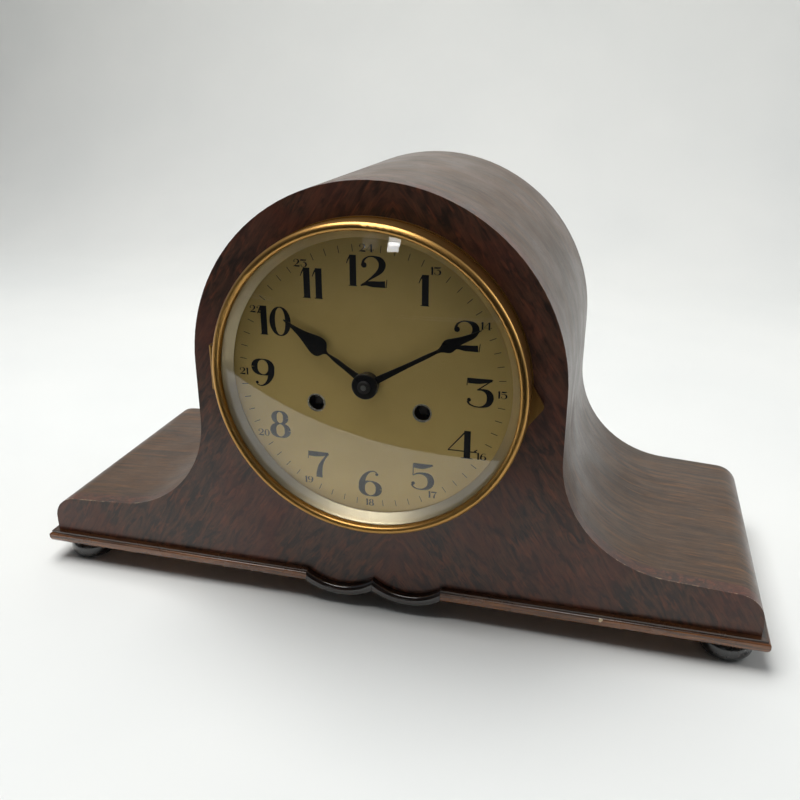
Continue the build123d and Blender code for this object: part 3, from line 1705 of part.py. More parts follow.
# ---- strike hammers on the long stud behind the back plate ----
head_x = hammer_stud_place[0] - hammer_reach
head_low = gong_rod_height + gong_rod_radius + hammer_rest_gap
head_middle = head_low + hammer_head_length / 2
arm = (-hammer_reach, head_middle - arch_height - hammer_stud_place[1])
for number, plane in enumerate(hammer_planes, start=1):
    hammer_depth = back_plate_outer + plane
    with BuildPart() as hammer:
        with BuildSketch(facing(hammer_depth + hammer_thick / 2, *hammer_stud_place)):
            Circle(hammer_hub_radius)
            with Locations((arm[0] / 2, arm[1] / 2)):
                Rectangle(
                    math.hypot(*arm),
                    hammer_arm_width,
                    rotation=math.degrees(math.atan2(arm[1], arm[0])),
                )
        extrude(amount=hammer_thick)
        with BuildSketch(Plane.XY.offset(head_low)):
            with Locations((head_x, face_y + hammer_depth)):
                Circle(hammer_head_radius)
        extrude(amount=hammer_head_length)
        disc(
            hammer_depth + hammer_thick / 2,
            hammer_thick,
            hammer_stud_radius + running_gap,
            *hammer_stud_place,
            mode=Mode.SUBTRACT,
        )
    hammer.part.label = f"hammer_{number}"
    export_step(hammer.part, f"parts/hammer_{number}.step")

# ---- gong: two rods driven into an iron block on the base ----
gong_y = face_y + back_plate_outer + (hammer_planes[0] + hammer_planes[1]) / 2
gong_rod_ys = [face_y + back_plate_outer + plane for plane in hammer_planes]
rod_root = gong_block_x + gong_block_width / 2
with BuildPart() as gong_block:
    with BuildSketch(Plane.XY.offset(body_bottom)):
        with Locations((rod_root, gong_y)):
            Rectangle(gong_block_width, gong_block_depth)
    extrude(amount=gong_block_top - body_bottom)
    fillet(gong_block.edges().filter_by(Axis.Z), gong_block_round)
    with BuildSketch(Plane.YZ.offset(gong_block_x)):
        with Locations(*[(y, gong_rod_height) for y in gong_rod_ys]):
            Circle(gong_rod_radius)
    extrude(amount=gong_block_width / 2, mode=Mode.SUBTRACT)
gong_block.part.label = "gong_block"
export_step(gong_block.part, "parts/gong_block.step")

with BuildPart() as gong_rods:
    with BuildSketch(Plane.YZ.offset(gong_rod_end)):
        with Locations(*[(y, gong_rod_height) for y in gong_rod_ys]):
            Circle(gong_rod_radius)
    extrude(amount=rod_root - gong_rod_end)
gong_rods.part.label = "gong_rods"
export_step(gong_rods.part, "parts/gong_rods.step")
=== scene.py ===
import math

import bmesh
import bpy
from mathutils import Matrix, Vector


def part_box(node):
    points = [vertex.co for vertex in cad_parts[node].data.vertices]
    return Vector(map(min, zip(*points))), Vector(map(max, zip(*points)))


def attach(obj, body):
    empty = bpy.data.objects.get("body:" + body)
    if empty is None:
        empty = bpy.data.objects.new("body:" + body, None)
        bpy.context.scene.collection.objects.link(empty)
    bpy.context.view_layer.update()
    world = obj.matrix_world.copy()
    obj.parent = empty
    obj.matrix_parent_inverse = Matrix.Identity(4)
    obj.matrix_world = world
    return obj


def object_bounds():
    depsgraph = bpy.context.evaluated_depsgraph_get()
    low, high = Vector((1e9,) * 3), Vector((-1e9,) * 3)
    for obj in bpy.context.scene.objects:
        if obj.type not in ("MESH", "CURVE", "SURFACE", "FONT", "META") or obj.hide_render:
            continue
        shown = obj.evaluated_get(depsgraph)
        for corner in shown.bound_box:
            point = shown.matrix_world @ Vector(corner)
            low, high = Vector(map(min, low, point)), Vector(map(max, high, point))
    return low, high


# The clock is 427 mm long and stands on its four feet; the dial faces -Y. All lengths are metres.
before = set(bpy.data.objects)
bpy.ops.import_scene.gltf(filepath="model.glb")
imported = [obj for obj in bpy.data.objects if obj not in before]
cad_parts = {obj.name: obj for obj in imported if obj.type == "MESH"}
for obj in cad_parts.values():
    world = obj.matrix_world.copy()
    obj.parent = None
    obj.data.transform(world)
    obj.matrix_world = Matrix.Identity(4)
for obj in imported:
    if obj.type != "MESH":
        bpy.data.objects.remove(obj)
cad_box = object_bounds()
MM = 0.001


# ---------------------------------------------------------------------------------------------
# Case front: one board, faced with figured mahogany veneer whose slanting stripes meet in the
# middle, stained dark red-brown and French polished. Its rim has rubbed through to pale wood.
# ---------------------------------------------------------------------------------------------
def wire(tree, kind, sockets=None, **settings):
    """Adds a shader node, sets its properties, then gives its sockets a value or a link."""
    node = tree.nodes.new("ShaderNode" + kind)
    for name, value in settings.items():
        setattr(node, name, value)
    for key, value in (sockets or {}).items():
        if isinstance(value, bpy.types.NodeSocket):
            tree.links.new(value, node.inputs[key])
        else:
            node.inputs[key].default_value = value
    return node


def blended(tree, share, first, second, how="MIX"):
    """The colour between first and second, at that share."""
    mix = wire(tree, "Mix", {0: share, 6: first, 7: second}, data_type="RGBA", blend_type=how)
    return mix.outputs[2]


def reckon(tree, how, first, second=0.0, third=0.0):
    """One sum on two or three values."""
    return wire(tree, "Math", {0: first, 1: second, 2: third}, operation=how).outputs[0]


def between(tree, value, low, high, at_low=0.0, at_high=1.0):
    """The value carried from low..high to at_low..at_high, and held at the ends."""
    spread = {"Value": value, "From Min": low, "From Max": high, "To Min": at_low, "To Max": at_high}
    return wire(tree, "MapRange", spread).outputs[0]


def shader_group(name, takes, gives):
    """An empty node group; takes and gives are (name, kind, default) rows. Returns tree, inlet, outlet."""
    tree = bpy.data.node_groups.new(name, "ShaderNodeTree")
    for way, rows in (("INPUT", takes), ("OUTPUT", gives)):
        for label, kind, default in rows:
            socket = tree.interface.new_socket(label, in_out=way, socket_type="NodeSocket" + kind)
            if default is not None:
                socket.default_value = default
    return tree, tree.nodes.new("NodeGroupInput").outputs, tree.nodes.new("NodeGroupOutput").inputs


def placed(tree, group, sockets):
    """The outputs of a group placed in a tree with its own values."""
    node = wire(tree, "Group", node_tree=group)
    for key, value in sockets.items():
        if isinstance(value, bpy.types.NodeSocket):
            tree.links.new(value, node.inputs[key])
        else:
            node.inputs[key].default_value = value
    return node.outputs


def colour(red, green, blue):
    """A shader colour from the 0-255 levels it has on a paint card."""
    return tuple(((level / 255 + 0.055) / 1.055) ** 2.4 for level in (red, green, blue)) + (1.0,)


# Cut timber: long fibres, short open pores across them, and a slow figure of dark and bright clouds.
timber, grain_in, grain_out = shader_group(
    "timber",
    [
        ("Vector", "Vector", None),
        ("Ground", "Color", None),
        ("Shade", "Color", None),
        ("Glow", "Color", None),
        ("Along", "Float", 18.0),
        ("Across", "Float", 60.0),
        ("Fibre", "Float", 0.35),
        ("Pores", "Float", 0.4),
    ],
    [("Color", "Color", None), ("Pores", "Float", None), ("Height", "Float", None)],
)
along_across = wire(
    timber, "CombineXYZ", {0: grain_in["Along"], 1: grain_in["Across"], 2: grain_in["Across"]}
)
cloud_place = wire(
    timber, "VectorMath", {0: grain_in["Vector"], 1: along_across.outputs[0]}, operation="MULTIPLY"
)
cloud = wire(
    timber,
    "TexNoise",
    {"Vector": cloud_place.outputs[0], "Scale": 1.0, "Detail": 5.0, "Roughness": 0.6, "Distortion": 1.1},
)
glow = wire(
    timber,
    "TexNoise",
    {"Vector": cloud_place.outputs[0], "Scale": 1.7, "Detail": 3.0, "Roughness": 0.55, "Distortion": 0.6},
)
fibre_place = wire(
    timber, "VectorMath", {0: grain_in["Vector"], 1: (70.0, 1500.0, 1500.0)}, operation="MULTIPLY"
)
fibre = wire(
    timber,
    "TexNoise",
    {"Vector": fibre_place.outputs[0], "Scale": 1.0, "Detail": 4.0, "Roughness": 0.65, "Distortion": 0.3},
)
pore_place = wire(
    timber, "VectorMath", {0: grain_in["Vector"], 1: (420.0, 3600.0, 3600.0)}, operation="MULTIPLY"
)
pore = wire(timber, "TexNoise", {"Vector": pore_place.outputs[0], "Scale": 1.0, "Detail": 2.0})
pore_mask = reckon(
    timber, "MULTIPLY", between(timber, pore.outputs[0], 0.60, 0.70), grain_in["Pores"]
)
ground = blended(
    timber, between(timber, cloud.outputs[0], 0.40, 0.62), grain_in["Ground"], grain_in["Shade"]
)
ground = blended(timber, between(timber, glow.outputs[0], 0.52, 0.72, 0.0, 0.9), ground, grain_in["Glow"])
fibre_shade = blended(
    timber,
    reckon(timber, "MULTIPLY", between(timber, fibre.outputs[0], 0.35, 0.65), grain_in["Fibre"]),
    ground,
    (0.01, 0.005, 0.003, 1.0),
)
timber.links.new(
    blended(timber, pore_mask, fibre_shade, (0.004, 0.002, 0.001, 1.0)), grain_out["Color"]
)
timber.links.new(pore_mask, grain_out["Pores"])
timber.links.new(
    reckon(timber, "SUBTRACT", reckon(timber, "MULTIPLY", fibre.outputs[0], 0.4), pore_mask),
    grain_out["Height"],
)

# Old polish: faint cloudy dulling, fine hair scratches and settled dust, as roughness and height.
polish, polish_in, polish_out = shader_group(
    "old_polish",
    [("Vector", "Vector", None), ("Gloss", "Float", 0.2), ("Dulling", "Float", 0.15)],
    [("Roughness", "Float", None), ("Height", "Float", None)],
)
haze = wire(
    polish, "TexNoise", {"Vector": polish_in["Vector"], "Scale": 26.0, "Detail": 6.0, "Roughness": 0.62}
)
hairline = wire(
    polish,
    "TexNoise",
    {"Vector": polish_in["Vector"], "Scale": 340.0, "Detail": 3.0, "Distortion": 3.0},
)
dull = reckon(
    polish, "MULTIPLY", between(polish, haze.outputs[0], 0.35, 0.7), polish_in["Dulling"]
)
hair = between(polish, hairline.outputs[0], 0.62, 0.7, 0.0, 0.08)
polish.links.new(
    reckon(polish, "ADD", reckon(polish, "ADD", polish_in["Gloss"], dull), hair),
    polish_out["Roughness"],
)
polish.links.new(haze.outputs[0], polish_out["Height"])


def new_finish(name, **constants):
    """A material with its own Principled shader; the constants stay on the shader's sockets."""
    material = bpy.data.materials.new(name)
    material.use_nodes = True
    shader = material.node_tree.nodes["Principled BSDF"]
    for label, value in constants.items():
        shader.inputs[label.replace("_", " ")].default_value = value
    return material, material.node_tree, shader.inputs


def spot(tree):
    """Where a point of the piece is, in the clock's own frame."""
    return wire(tree, "TexCoord").outputs["Object"]


def swung(tree, vector, axis, angle):
    """The vector turned about an axis, so that the grain lies along its X."""
    turn = {"Vector": vector, "Axis": axis, "Angle": angle}
    return wire(tree, "VectorRotate", turn, rotation_type="AXIS_ANGLE").outputs[0]


def dented(tree, height, distance, strength=1.0):
    """A bump of that depth from a height pattern."""
    return wire(
        tree, "Bump", {"Height": height, "Distance": distance, "Strength": strength}
    ).outputs[0]


def coat_wood(
    name, vector_of, tones, along, across, fibre=0.35, pores=0.4, gloss=0.24, dulling=0.16, coat=0.6
):
    """Stained and polished wood. vector_of turns a place into grain axes; tones are ground, shade, glow."""
    material, tree, shader = new_finish(name, Coat_Roughness=0.16, IOR=1.5)
    place = spot(tree)
    grain = placed(
        tree,
        timber,
        {
            "Vector": vector_of(tree, place),
            "Ground": tones[0],
            "Shade": tones[1],
            "Glow": tones[2],
            "Along": along,
            "Across": across,
            "Fibre": fibre,
            "Pores": pores,
        },
    )
    rub = placed(tree, polish, {"Vector": place, "Gloss": gloss, "Dulling": dulling})
    tree.links.new(grain["Color"], shader["Base Color"])
    tree.links.new(rub["Roughness"], shader["Roughness"])
    shader["Coat Weight"].default_value = coat
    tree.links.new(dented(tree, grain["Height"], 0.00012, 0.35), shader["Normal"])
    return material, tree, shader, grain


def paint(node, material):
    """Gives a CAD piece its material."""
    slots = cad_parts[node].data.materials
    slots.clear()
    slots.append(material)


panel_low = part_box("front_panel")[0]
stripe_slant = math.radians(-57)
STRIPE_MIDDLE = 12 * MM
ARRIS_WORN = 0.25 * MM
ARRIS_SOUND = 0.7 * MM


def mirrored_stripes(tree, place):
    """Grain axes that slant up towards the middle on both halves of the front."""
    axes = wire(tree, "SeparateXYZ", {0: place}).outputs
    half = reckon(tree, "ABSOLUTE", reckon(tree, "SUBTRACT", axes[0], STRIPE_MIDDLE))
    folded = wire(tree, "CombineXYZ", {0: half, 1: axes[1], 2: axes[2]}).outputs[0]
    return swung(tree, folded, (0, 1, 0), stripe_slant)


veneer, tree, shader, grain = coat_wood(
    "figured_veneer",
    mirrored_stripes,
    (colour(92, 57, 39), colour(44, 30, 23), colour(126, 68, 42)),
    along=52.0,
    across=190.0,
    fibre=0.42,
    pores=0.35,
    gloss=0.34,
    coat=0.2,
)
# Broad, slow patches where the stain took redder, laid over the fine figure.
place = spot(tree)
patch = wire(
    tree, "TexNoise", {"Vector": place, "Scale": 24.0, "Detail": 4.0, "Distortion": 0.8}
).outputs[0]
stained = blended(tree, between(tree, patch, 0.45, 0.7, 0.0, 0.45), grain["Color"], colour(98, 42, 27))
axes = wire(tree, "SeparateXYZ", {0: place}).outputs
facing = wire(tree, "SeparateXYZ", {0: wire(tree, "NewGeometry").outputs["True Normal"]}).outputs
rim = reckon(tree, "LESS_THAN", reckon(tree, "ABSOLUTE", facing[1]), 0.5)
arris = between(tree, axes[1], panel_low.y + ARRIS_WORN, panel_low.y + ARRIS_SOUND, 1.0, 0.0)
flaking = wire(tree, "TexNoise", {"Vector": place, "Scale": 260.0, "Detail": 4.0}).outputs[0]
worn = reckon(
    tree, "MULTIPLY", reckon(tree, "MULTIPLY", rim, arris), between(tree, flaking, 0.50, 0.62)
)
tree.links.new(
    blended(tree, worn, stained, colour(176, 150, 118)), shader["Base Color"]
)
paint("front_panel", veneer)


# ---------------------------------------------------------------------------------------------
# Case wrap: thin plywood bent over the arch, down the two hollows and out along the shoulders.
# Its straight-grained veneer runs round the profile, so the fibres lie in XZ and change across Y.
# ---------------------------------------------------------------------------------------------
def round_profile(tree, place):
    """Grain axes along the bent profile: quick changes across the depth, slow ones round the bend."""
    axes = wire(tree, "SeparateXYZ", {0: place}).outputs
    level = reckon(tree, "MULTIPLY", axes[0], 0.8)
    bend = reckon(tree, "ADD", level, reckon(tree, "MULTIPLY", axes[2], 0.6))
    other = reckon(tree, "MULTIPLY", reckon(tree, "SUBTRACT", axes[0], axes[2]), 0.06)
    return wire(tree, "CombineXYZ", {0: bend, 1: axes[1], 2: other}).outputs[0]


wrap_finish = coat_wood(
    "wrap_veneer",
    round_profile,
    (colour(94, 65, 38), colour(60, 42, 27), colour(120, 78, 38)),
    along=16.0,
    across=230.0,
    fibre=0.55,
    pores=0.4,
    gloss=0.34,
    dulling=0.2,
    coat=0.2,
)[0]
paint("case_wrap", wrap_finish)


# ---------------------------------------------------------------------------------------------
# Back: a frame rebated into the wrap and a loose arched door, both of stained solid wood with
# the grain upright. The door hangs on two pressed brass hinges and has a turned brass knob.
# ---------------------------------------------------------------------------------------------
def upright(tree, place):
    """Grain axes with the fibres running up the piece."""
    return swung(tree, place, (0, 1, 0), math.pi / 2)


def lengthwise(tree, place):
    """Grain axes with the fibres running from side to side."""
    return place


back_tones = (colour(70, 42, 28), colour(50, 30, 20), colour(92, 56, 34))
back_wood = coat_wood("stained_back", upright, back_tones, 14.0, 130.0, 0.5, 0.45, 0.42, 0.2, 0.1)[0]
for node in ("back_frame", "back_door"):
    paint(node, back_wood)

# Brass and steel: a fine worked grain, darker tarnish gathered in clouds, and small stains.
metal, metal_in, metal_out = shader_group(
    "worked_metal",
    [
        ("Vector", "Vector", None),
        ("Grain", "Vector", (1.0, 1.0, 1.0)),
        ("Bright", "Color", None),
        ("Tarnish", "Color", None),
        ("Age", "Float", 0.5),
        ("Gloss", "Float", 0.25),
    ],
    [("Color", "Color", None), ("Roughness", "Float", None), ("Height", "Float", None)],
)
grain_place = wire(
    metal, "VectorMath", {0: metal_in["Vector"], 1: metal_in["Grain"]}, operation="MULTIPLY"
).outputs[0]
working = wire(metal, "TexNoise", {"Vector": grain_place, "Scale": 1.0, "Detail": 3.0}).outputs[0]
stain = wire(
    metal, "TexNoise", {"Vector": metal_in["Vector"], "Scale": 70.0, "Detail": 6.0, "Roughness": 0.65}
).outputs[0]
freckle = wire(metal, "TexNoise", {"Vector": metal_in["Vector"], "Scale": 900.0, "Detail": 2.0}).outputs[0]
aged = reckon(metal, "MULTIPLY", between(metal, stain, 0.38, 0.72), metal_in["Age"])
speckled = reckon(
    metal, "MULTIPLY", between(metal, freckle, 0.64, 0.72), reckon(metal, "MULTIPLY", metal_in["Age"], 0.6)
)
metal.links.new(
    blended(metal, reckon(metal, "MAXIMUM", aged, speckled), metal_in["Bright"], metal_in["Tarnish"]),
    metal_out["Color"],
)
dulled = reckon(metal, "MULTIPLY", aged, 0.25)
rubbed = reckon(metal, "ADD", dulled, between(metal, working, 0.3, 0.7, 0.0, 0.1))
metal.links.new(reckon(metal, "ADD", metal_in["Gloss"], rubbed), metal_out["Roughness"])
metal.links.new(working, metal_out["Height"])


def metal_finish(
    name,
    bright,
    tarnish,
    age=0.5,
    gloss=0.25,
    grain=(700.0, 700.0, 700.0),
    vector_of=lengthwise,
    depth=0.00002,
):
    """Bare or lacquered metal, with its grain scaled along the axes that vector_of gives."""
    material, tree, shader = new_finish(name, Metallic=1.0)
    marks = placed(
        tree,
        metal,
        {
            "Vector": vector_of(tree, spot(tree)),
            "Grain": grain,
            "Bright": bright,
            "Tarnish": tarnish,
            "Age": age,
            "Gloss": gloss,
        },
    )
    tree.links.new(marks["Color"], shader["Base Color"])
    tree.links.new(marks["Roughness"], shader["Roughness"])
    tree.links.new(dented(tree, marks["Height"], depth, 0.5), shader["Normal"])
    return material, tree, shader, marks


BRASS_BRIGHT = colour(198, 162, 98)
BRASS_DULL = colour(120, 90, 50)
plate_brass = metal_finish("plate_brass", BRASS_BRIGHT, BRASS_DULL, 0.55, 0.28)[0]
for node in ("door_hinges_fixed", "door_hinges_moving", "door_knob"):
    paint(node, plate_brass)


# ---------------------------------------------------------------------------------------------
# Base board and the glue blocks behind it: plain beech, planed, unstained where it is hidden.
# ---------------------------------------------------------------------------------------------
beech_tones = (colour(150, 112, 74), colour(126, 90, 58), colour(168, 130, 88))
beech = coat_wood("planed_beech", lengthwise, beech_tones, 10.0, 110.0, 0.22, 0.5, 0.55, 0.2, 0.0)[0]
for node in ("base_board", "glue_blocks"):
    paint(node, beech)


# ---------------------------------------------------------------------------------------------
# Base moulding: planted lengths of straight-grained mahogany with a quirk above a half round,
# mitred at the corners. A small chip on the right of the front shows the bare wood.
# ---------------------------------------------------------------------------------------------
def depthwise(tree, place):
    """Grain axes with the fibres running from front to back."""
    return swung(tree, place, (0, 0, 1), math.pi / 2)


moulding_low, moulding_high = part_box("moulding_front")
moulding_tones = (colour(140, 84, 40), colour(86, 52, 27), colour(170, 108, 50))
chip_place = Vector((128 * MM, moulding_low.y + 0.3 * MM, moulding_high.z - 2.4 * MM))
QUIRK_LOW = 1.7 * MM
QUIRK_TOP = 1.1 * MM
CHIP_INNER = 1.7 * MM
CHIP_OUTER = 2.0 * MM
CHIP_RAGGED = 1.6 * MM
for node, direction in (("moulding_front", lengthwise), ("moulding_ends", depthwise)):
    strip, tree, shader, grain = coat_wood(
        node + "_wood", direction, moulding_tones, 22.0, 420.0, 0.4, 0.3, 0.22, 0.14, 0.8
    )
    place = spot(tree)
    # Painted shade: the quirk and the flat top of the moulding are darkened towards the top edge, where
    # shade falls under the front board; the chip below is real wear.
    height = wire(tree, "SeparateXYZ", {0: place}).outputs[2]
    quirk = between(tree, height, moulding_high.z - QUIRK_LOW, moulding_high.z - QUIRK_TOP)
    painted_shade_and_chip = blended(tree, reckon(tree, "MULTIPLY", quirk, 0.75), grain["Color"], colour(22, 12, 9))
    if node == "moulding_front":
        away = wire(tree, "VectorMath", {0: place, 1: chip_place}, operation="DISTANCE").outputs["Value"]
        ragged = wire(tree, "TexNoise", {"Vector": place, "Scale": 900.0}).outputs[0]
        edge = reckon(tree, "ADD", away, reckon(tree, "MULTIPLY", ragged, CHIP_RAGGED))
        chip = between(tree, edge, CHIP_INNER, CHIP_OUTER, 1.0, 0.0)
        painted_shade_and_chip = blended(tree, chip, painted_shade_and_chip, colour(214, 190, 150))
    tree.links.new(painted_shade_and_chip, shader["Base Color"])
    paint(node, strip)


# ---------------------------------------------------------------------------------------------
# Lobe beads: two short half-round beads bent round the pair of lobes under the dial, stained
# nearly black and polished brighter than the rest.
# ---------------------------------------------------------------------------------------------
bead_tones = (colour(38, 24, 19), colour(24, 16, 13), colour(54, 30, 22))
bead_wood = coat_wood("bead_wood", lengthwise, bead_tones, 30.0, 300.0, 0.3, 0.15, 0.16, 0.08, 1.0)[0]
paint("lobe_beads", bead_wood)


# ---------------------------------------------------------------------------------------------
# Feet: four turned and ebonised buns, each held up into the base by a screw in its recess.
# ---------------------------------------------------------------------------------------------
foot_tones = (colour(26, 24, 22), colour(14, 13, 12), colour(40, 34, 30))
foot_wood = coat_wood("ebonised_wood", lengthwise, foot_tones, 60.0, 90.0, 0.2, 0.2, 0.2, 0.2, 0.9)[0]
paint("feet", foot_wood)


# ---------------------------------------------------------------------------------------------
# Movement frame: two brass plates on steel pillars, hung from the panel by two steel straps.
# The plates are grained straight and lacquered; the pillars, nuts and screws are bright steel.
# ---------------------------------------------------------------------------------------------
STEEL_BRIGHT = colour(176, 176, 174)
STEEL_DULL = colour(104, 100, 94)
grained_brass = metal_finish(
    "grained_plate", BRASS_BRIGHT, BRASS_DULL, 0.45, 0.26, (60.0, 1800.0, 1800.0), upright
)[0]
for node in ("front_plate", "back_plate", "pendulum_cock"):
    paint(node, grained_brass)
steel = metal_finish("bright_steel", STEEL_BRIGHT, STEEL_DULL, 0.5, 0.24)[0]
for node in ("movement_straps", "pillars_and_studs", "pillar_nuts", "case_screws"):
    paint(node, steel)


# ---------------------------------------------------------------------------------------------
# Wheels, barrels and arbors: hard brass wheels and barrels, turned and cut, on steel arbors
# whose leaves are cut from the same bar, so each train piece is brass in its wheel's plane only.
# ---------------------------------------------------------------------------------------------
def round_axis(tree, place, centre):
    """Turning axes about a line that runs front to back: radius, angle, depth."""
    axes = wire(tree, "SeparateXYZ", {0: place}).outputs
    over = reckon(tree, "SUBTRACT", axes[0], centre[0])
    up = reckon(tree, "SUBTRACT", axes[2], centre[1])
    flat = wire(tree, "CombineXYZ", {0: over, 1: up}).outputs[0]
    radius = wire(tree, "VectorMath", {0: flat}, operation="LENGTH").outputs["Value"]
    angle = reckon(tree, "ARCTAN2", over, up)
    return radius, angle, axes[1]


def lathe_finish(name, centre, bright, tarnish, age=0.4, gloss=0.22, rings=2600.0, depth=0.00002):
    """Metal turned on a lathe: its grain is rings about the centre (x, z)."""

    def rings_of(tree, place):
        radius, angle, depth_y = round_axis(tree, place, centre)
        swept = reckon(tree, "MULTIPLY", angle, 0.004)
        return wire(tree, "CombineXYZ", {0: radius, 1: swept, 2: depth_y}).outputs[0]

    return metal_finish(name, bright, tarnish, age, gloss, (rings, 60.0, rings), rings_of, depth)


TRAIN_PIECES = (
    "time_barrel",
    "strike_barrel",
    "second_wheel",
    "centre_wheel",
    "third_wheel",
    "escape_wheel",
    "strike_second_wheel",
    "strike_pin_wheel",
    "strike_fly",
    "cannon_pinion",
    "minute_wheel",
    "hour_wheel",
)
for node in TRAIN_PIECES:
    low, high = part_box(node)
    centre = ((low.x + high.x) / 2, (low.z + high.z) / 2)
    material, tree, shader, marks = lathe_finish(
        node + "_metal", centre, BRASS_BRIGHT, BRASS_DULL, 0.35, 0.22
    )
    radius = round_axis(tree, spot(tree), centre)[0]
    inner = min(4.2 * MM, 0.45 * (high.x - low.x) / 2)
    steel_core = between(tree, radius, inner - 0.05 * MM, inner + 0.05 * MM, 1.0, 0.0)
    tree.links.new(
        blended(tree, steel_core, marks["Color"], STEEL_BRIGHT), shader["Base Color"]
    )
    paint(node, material)
old_steel = metal_finish("old_steel", colour(92, 88, 82), colour(46, 42, 38), 0.8, 0.35)[0]
for node in ("time_winding_arbor", "strike_winding_arbor"):
    paint(node, old_steel)
for node in (
    "time_click",
    "strike_click",
    "centre_arbor",
    "anchor",
    "bezel_hinge_pin",
):
    paint(node, steel)
paint("crutch", plate_brass)


# ---------------------------------------------------------------------------------------------
# Pendulum: a flat steel rod, a lenticular bob spun from brass, and a knurled nut below it.
# ---------------------------------------------------------------------------------------------
bob_low, bob_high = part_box("pendulum_bob")
bob_centre = ((bob_low.x + bob_high.x) / 2, (bob_low.z + bob_high.z) / 2)
paint("pendulum_rod", steel)
paint("pendulum_bob", lathe_finish("spun_bob", bob_centre, BRASS_BRIGHT, BRASS_DULL, 0.6, 0.2)[0])
paint("rating_nut", plate_brass)


# ---------------------------------------------------------------------------------------------
# Strike: two brass hammers on one stud, two straight gong rods, and a black iron gong block.
# ---------------------------------------------------------------------------------------------
gong_steel = metal_finish("gong_rod", colour(132, 120, 100), colour(84, 70, 52), 0.7, 0.3)[0]
paint("gong_rods", gong_steel)
cast_iron = metal_finish(
    "cast_iron", colour(46, 45, 44), colour(30, 26, 23), 0.8, 0.55, (520.0,) * 3, lengthwise, 0.0002
)[0]
paint("gong_block", cast_iron)
for node in ("hammer_1", "hammer_2"):
    paint(node, plate_brass)


# ---------------------------------------------------------------------------------------------
# Dial: a thin brass pan, frosted and silvered to a warm champagne tone under lacquer, with a
# little spotting. Its feet are riveted on and nutted behind the straps.
# ---------------------------------------------------------------------------------------------
dial_low, dial_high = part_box("dial_plate")
dial_centre = Vector(((dial_low.x + dial_high.x) / 2, dial_low.y, (dial_low.z + dial_high.z) / 2))
dial_finish, tree, shader, _ = metal_finish(
    "frosted_dial",
    colour(228, 200, 126),
    colour(196, 166, 96),
    age=0.16,
    gloss=0.45,
    grain=(2600.0,) * 3,
    depth=0.00003,
)
shader["Metallic"].default_value = 0.62
paint("dial_plate", dial_finish)
paint("dial_feet", plate_brass)


# ---------------------------------------------------------------------------------------------
# Dial print: fat-faced hour figures 1 to 12, small afternoon figures 13 to 24 outside them and
# a short stroke for each minute between, all in black ink and standing upright.
# ---------------------------------------------------------------------------------------------
def oval(cx, cy, rx, ry, thick, thin, start=0, stop=360, step=15):
    """Pen places round an oval, heavy at its sides and fine at its top and bottom."""
    turns = range(start, stop + 1, step) if stop > start else range(start, stop - 1, -step)
    places = []
    for degrees in turns:
        a = math.radians(degrees)
        weight = thin + (thick - thin) * abs(math.cos(a)) ** 1.6
        places.append((cx + rx * math.cos(a), cy + ry * math.sin(a), weight))
    return places


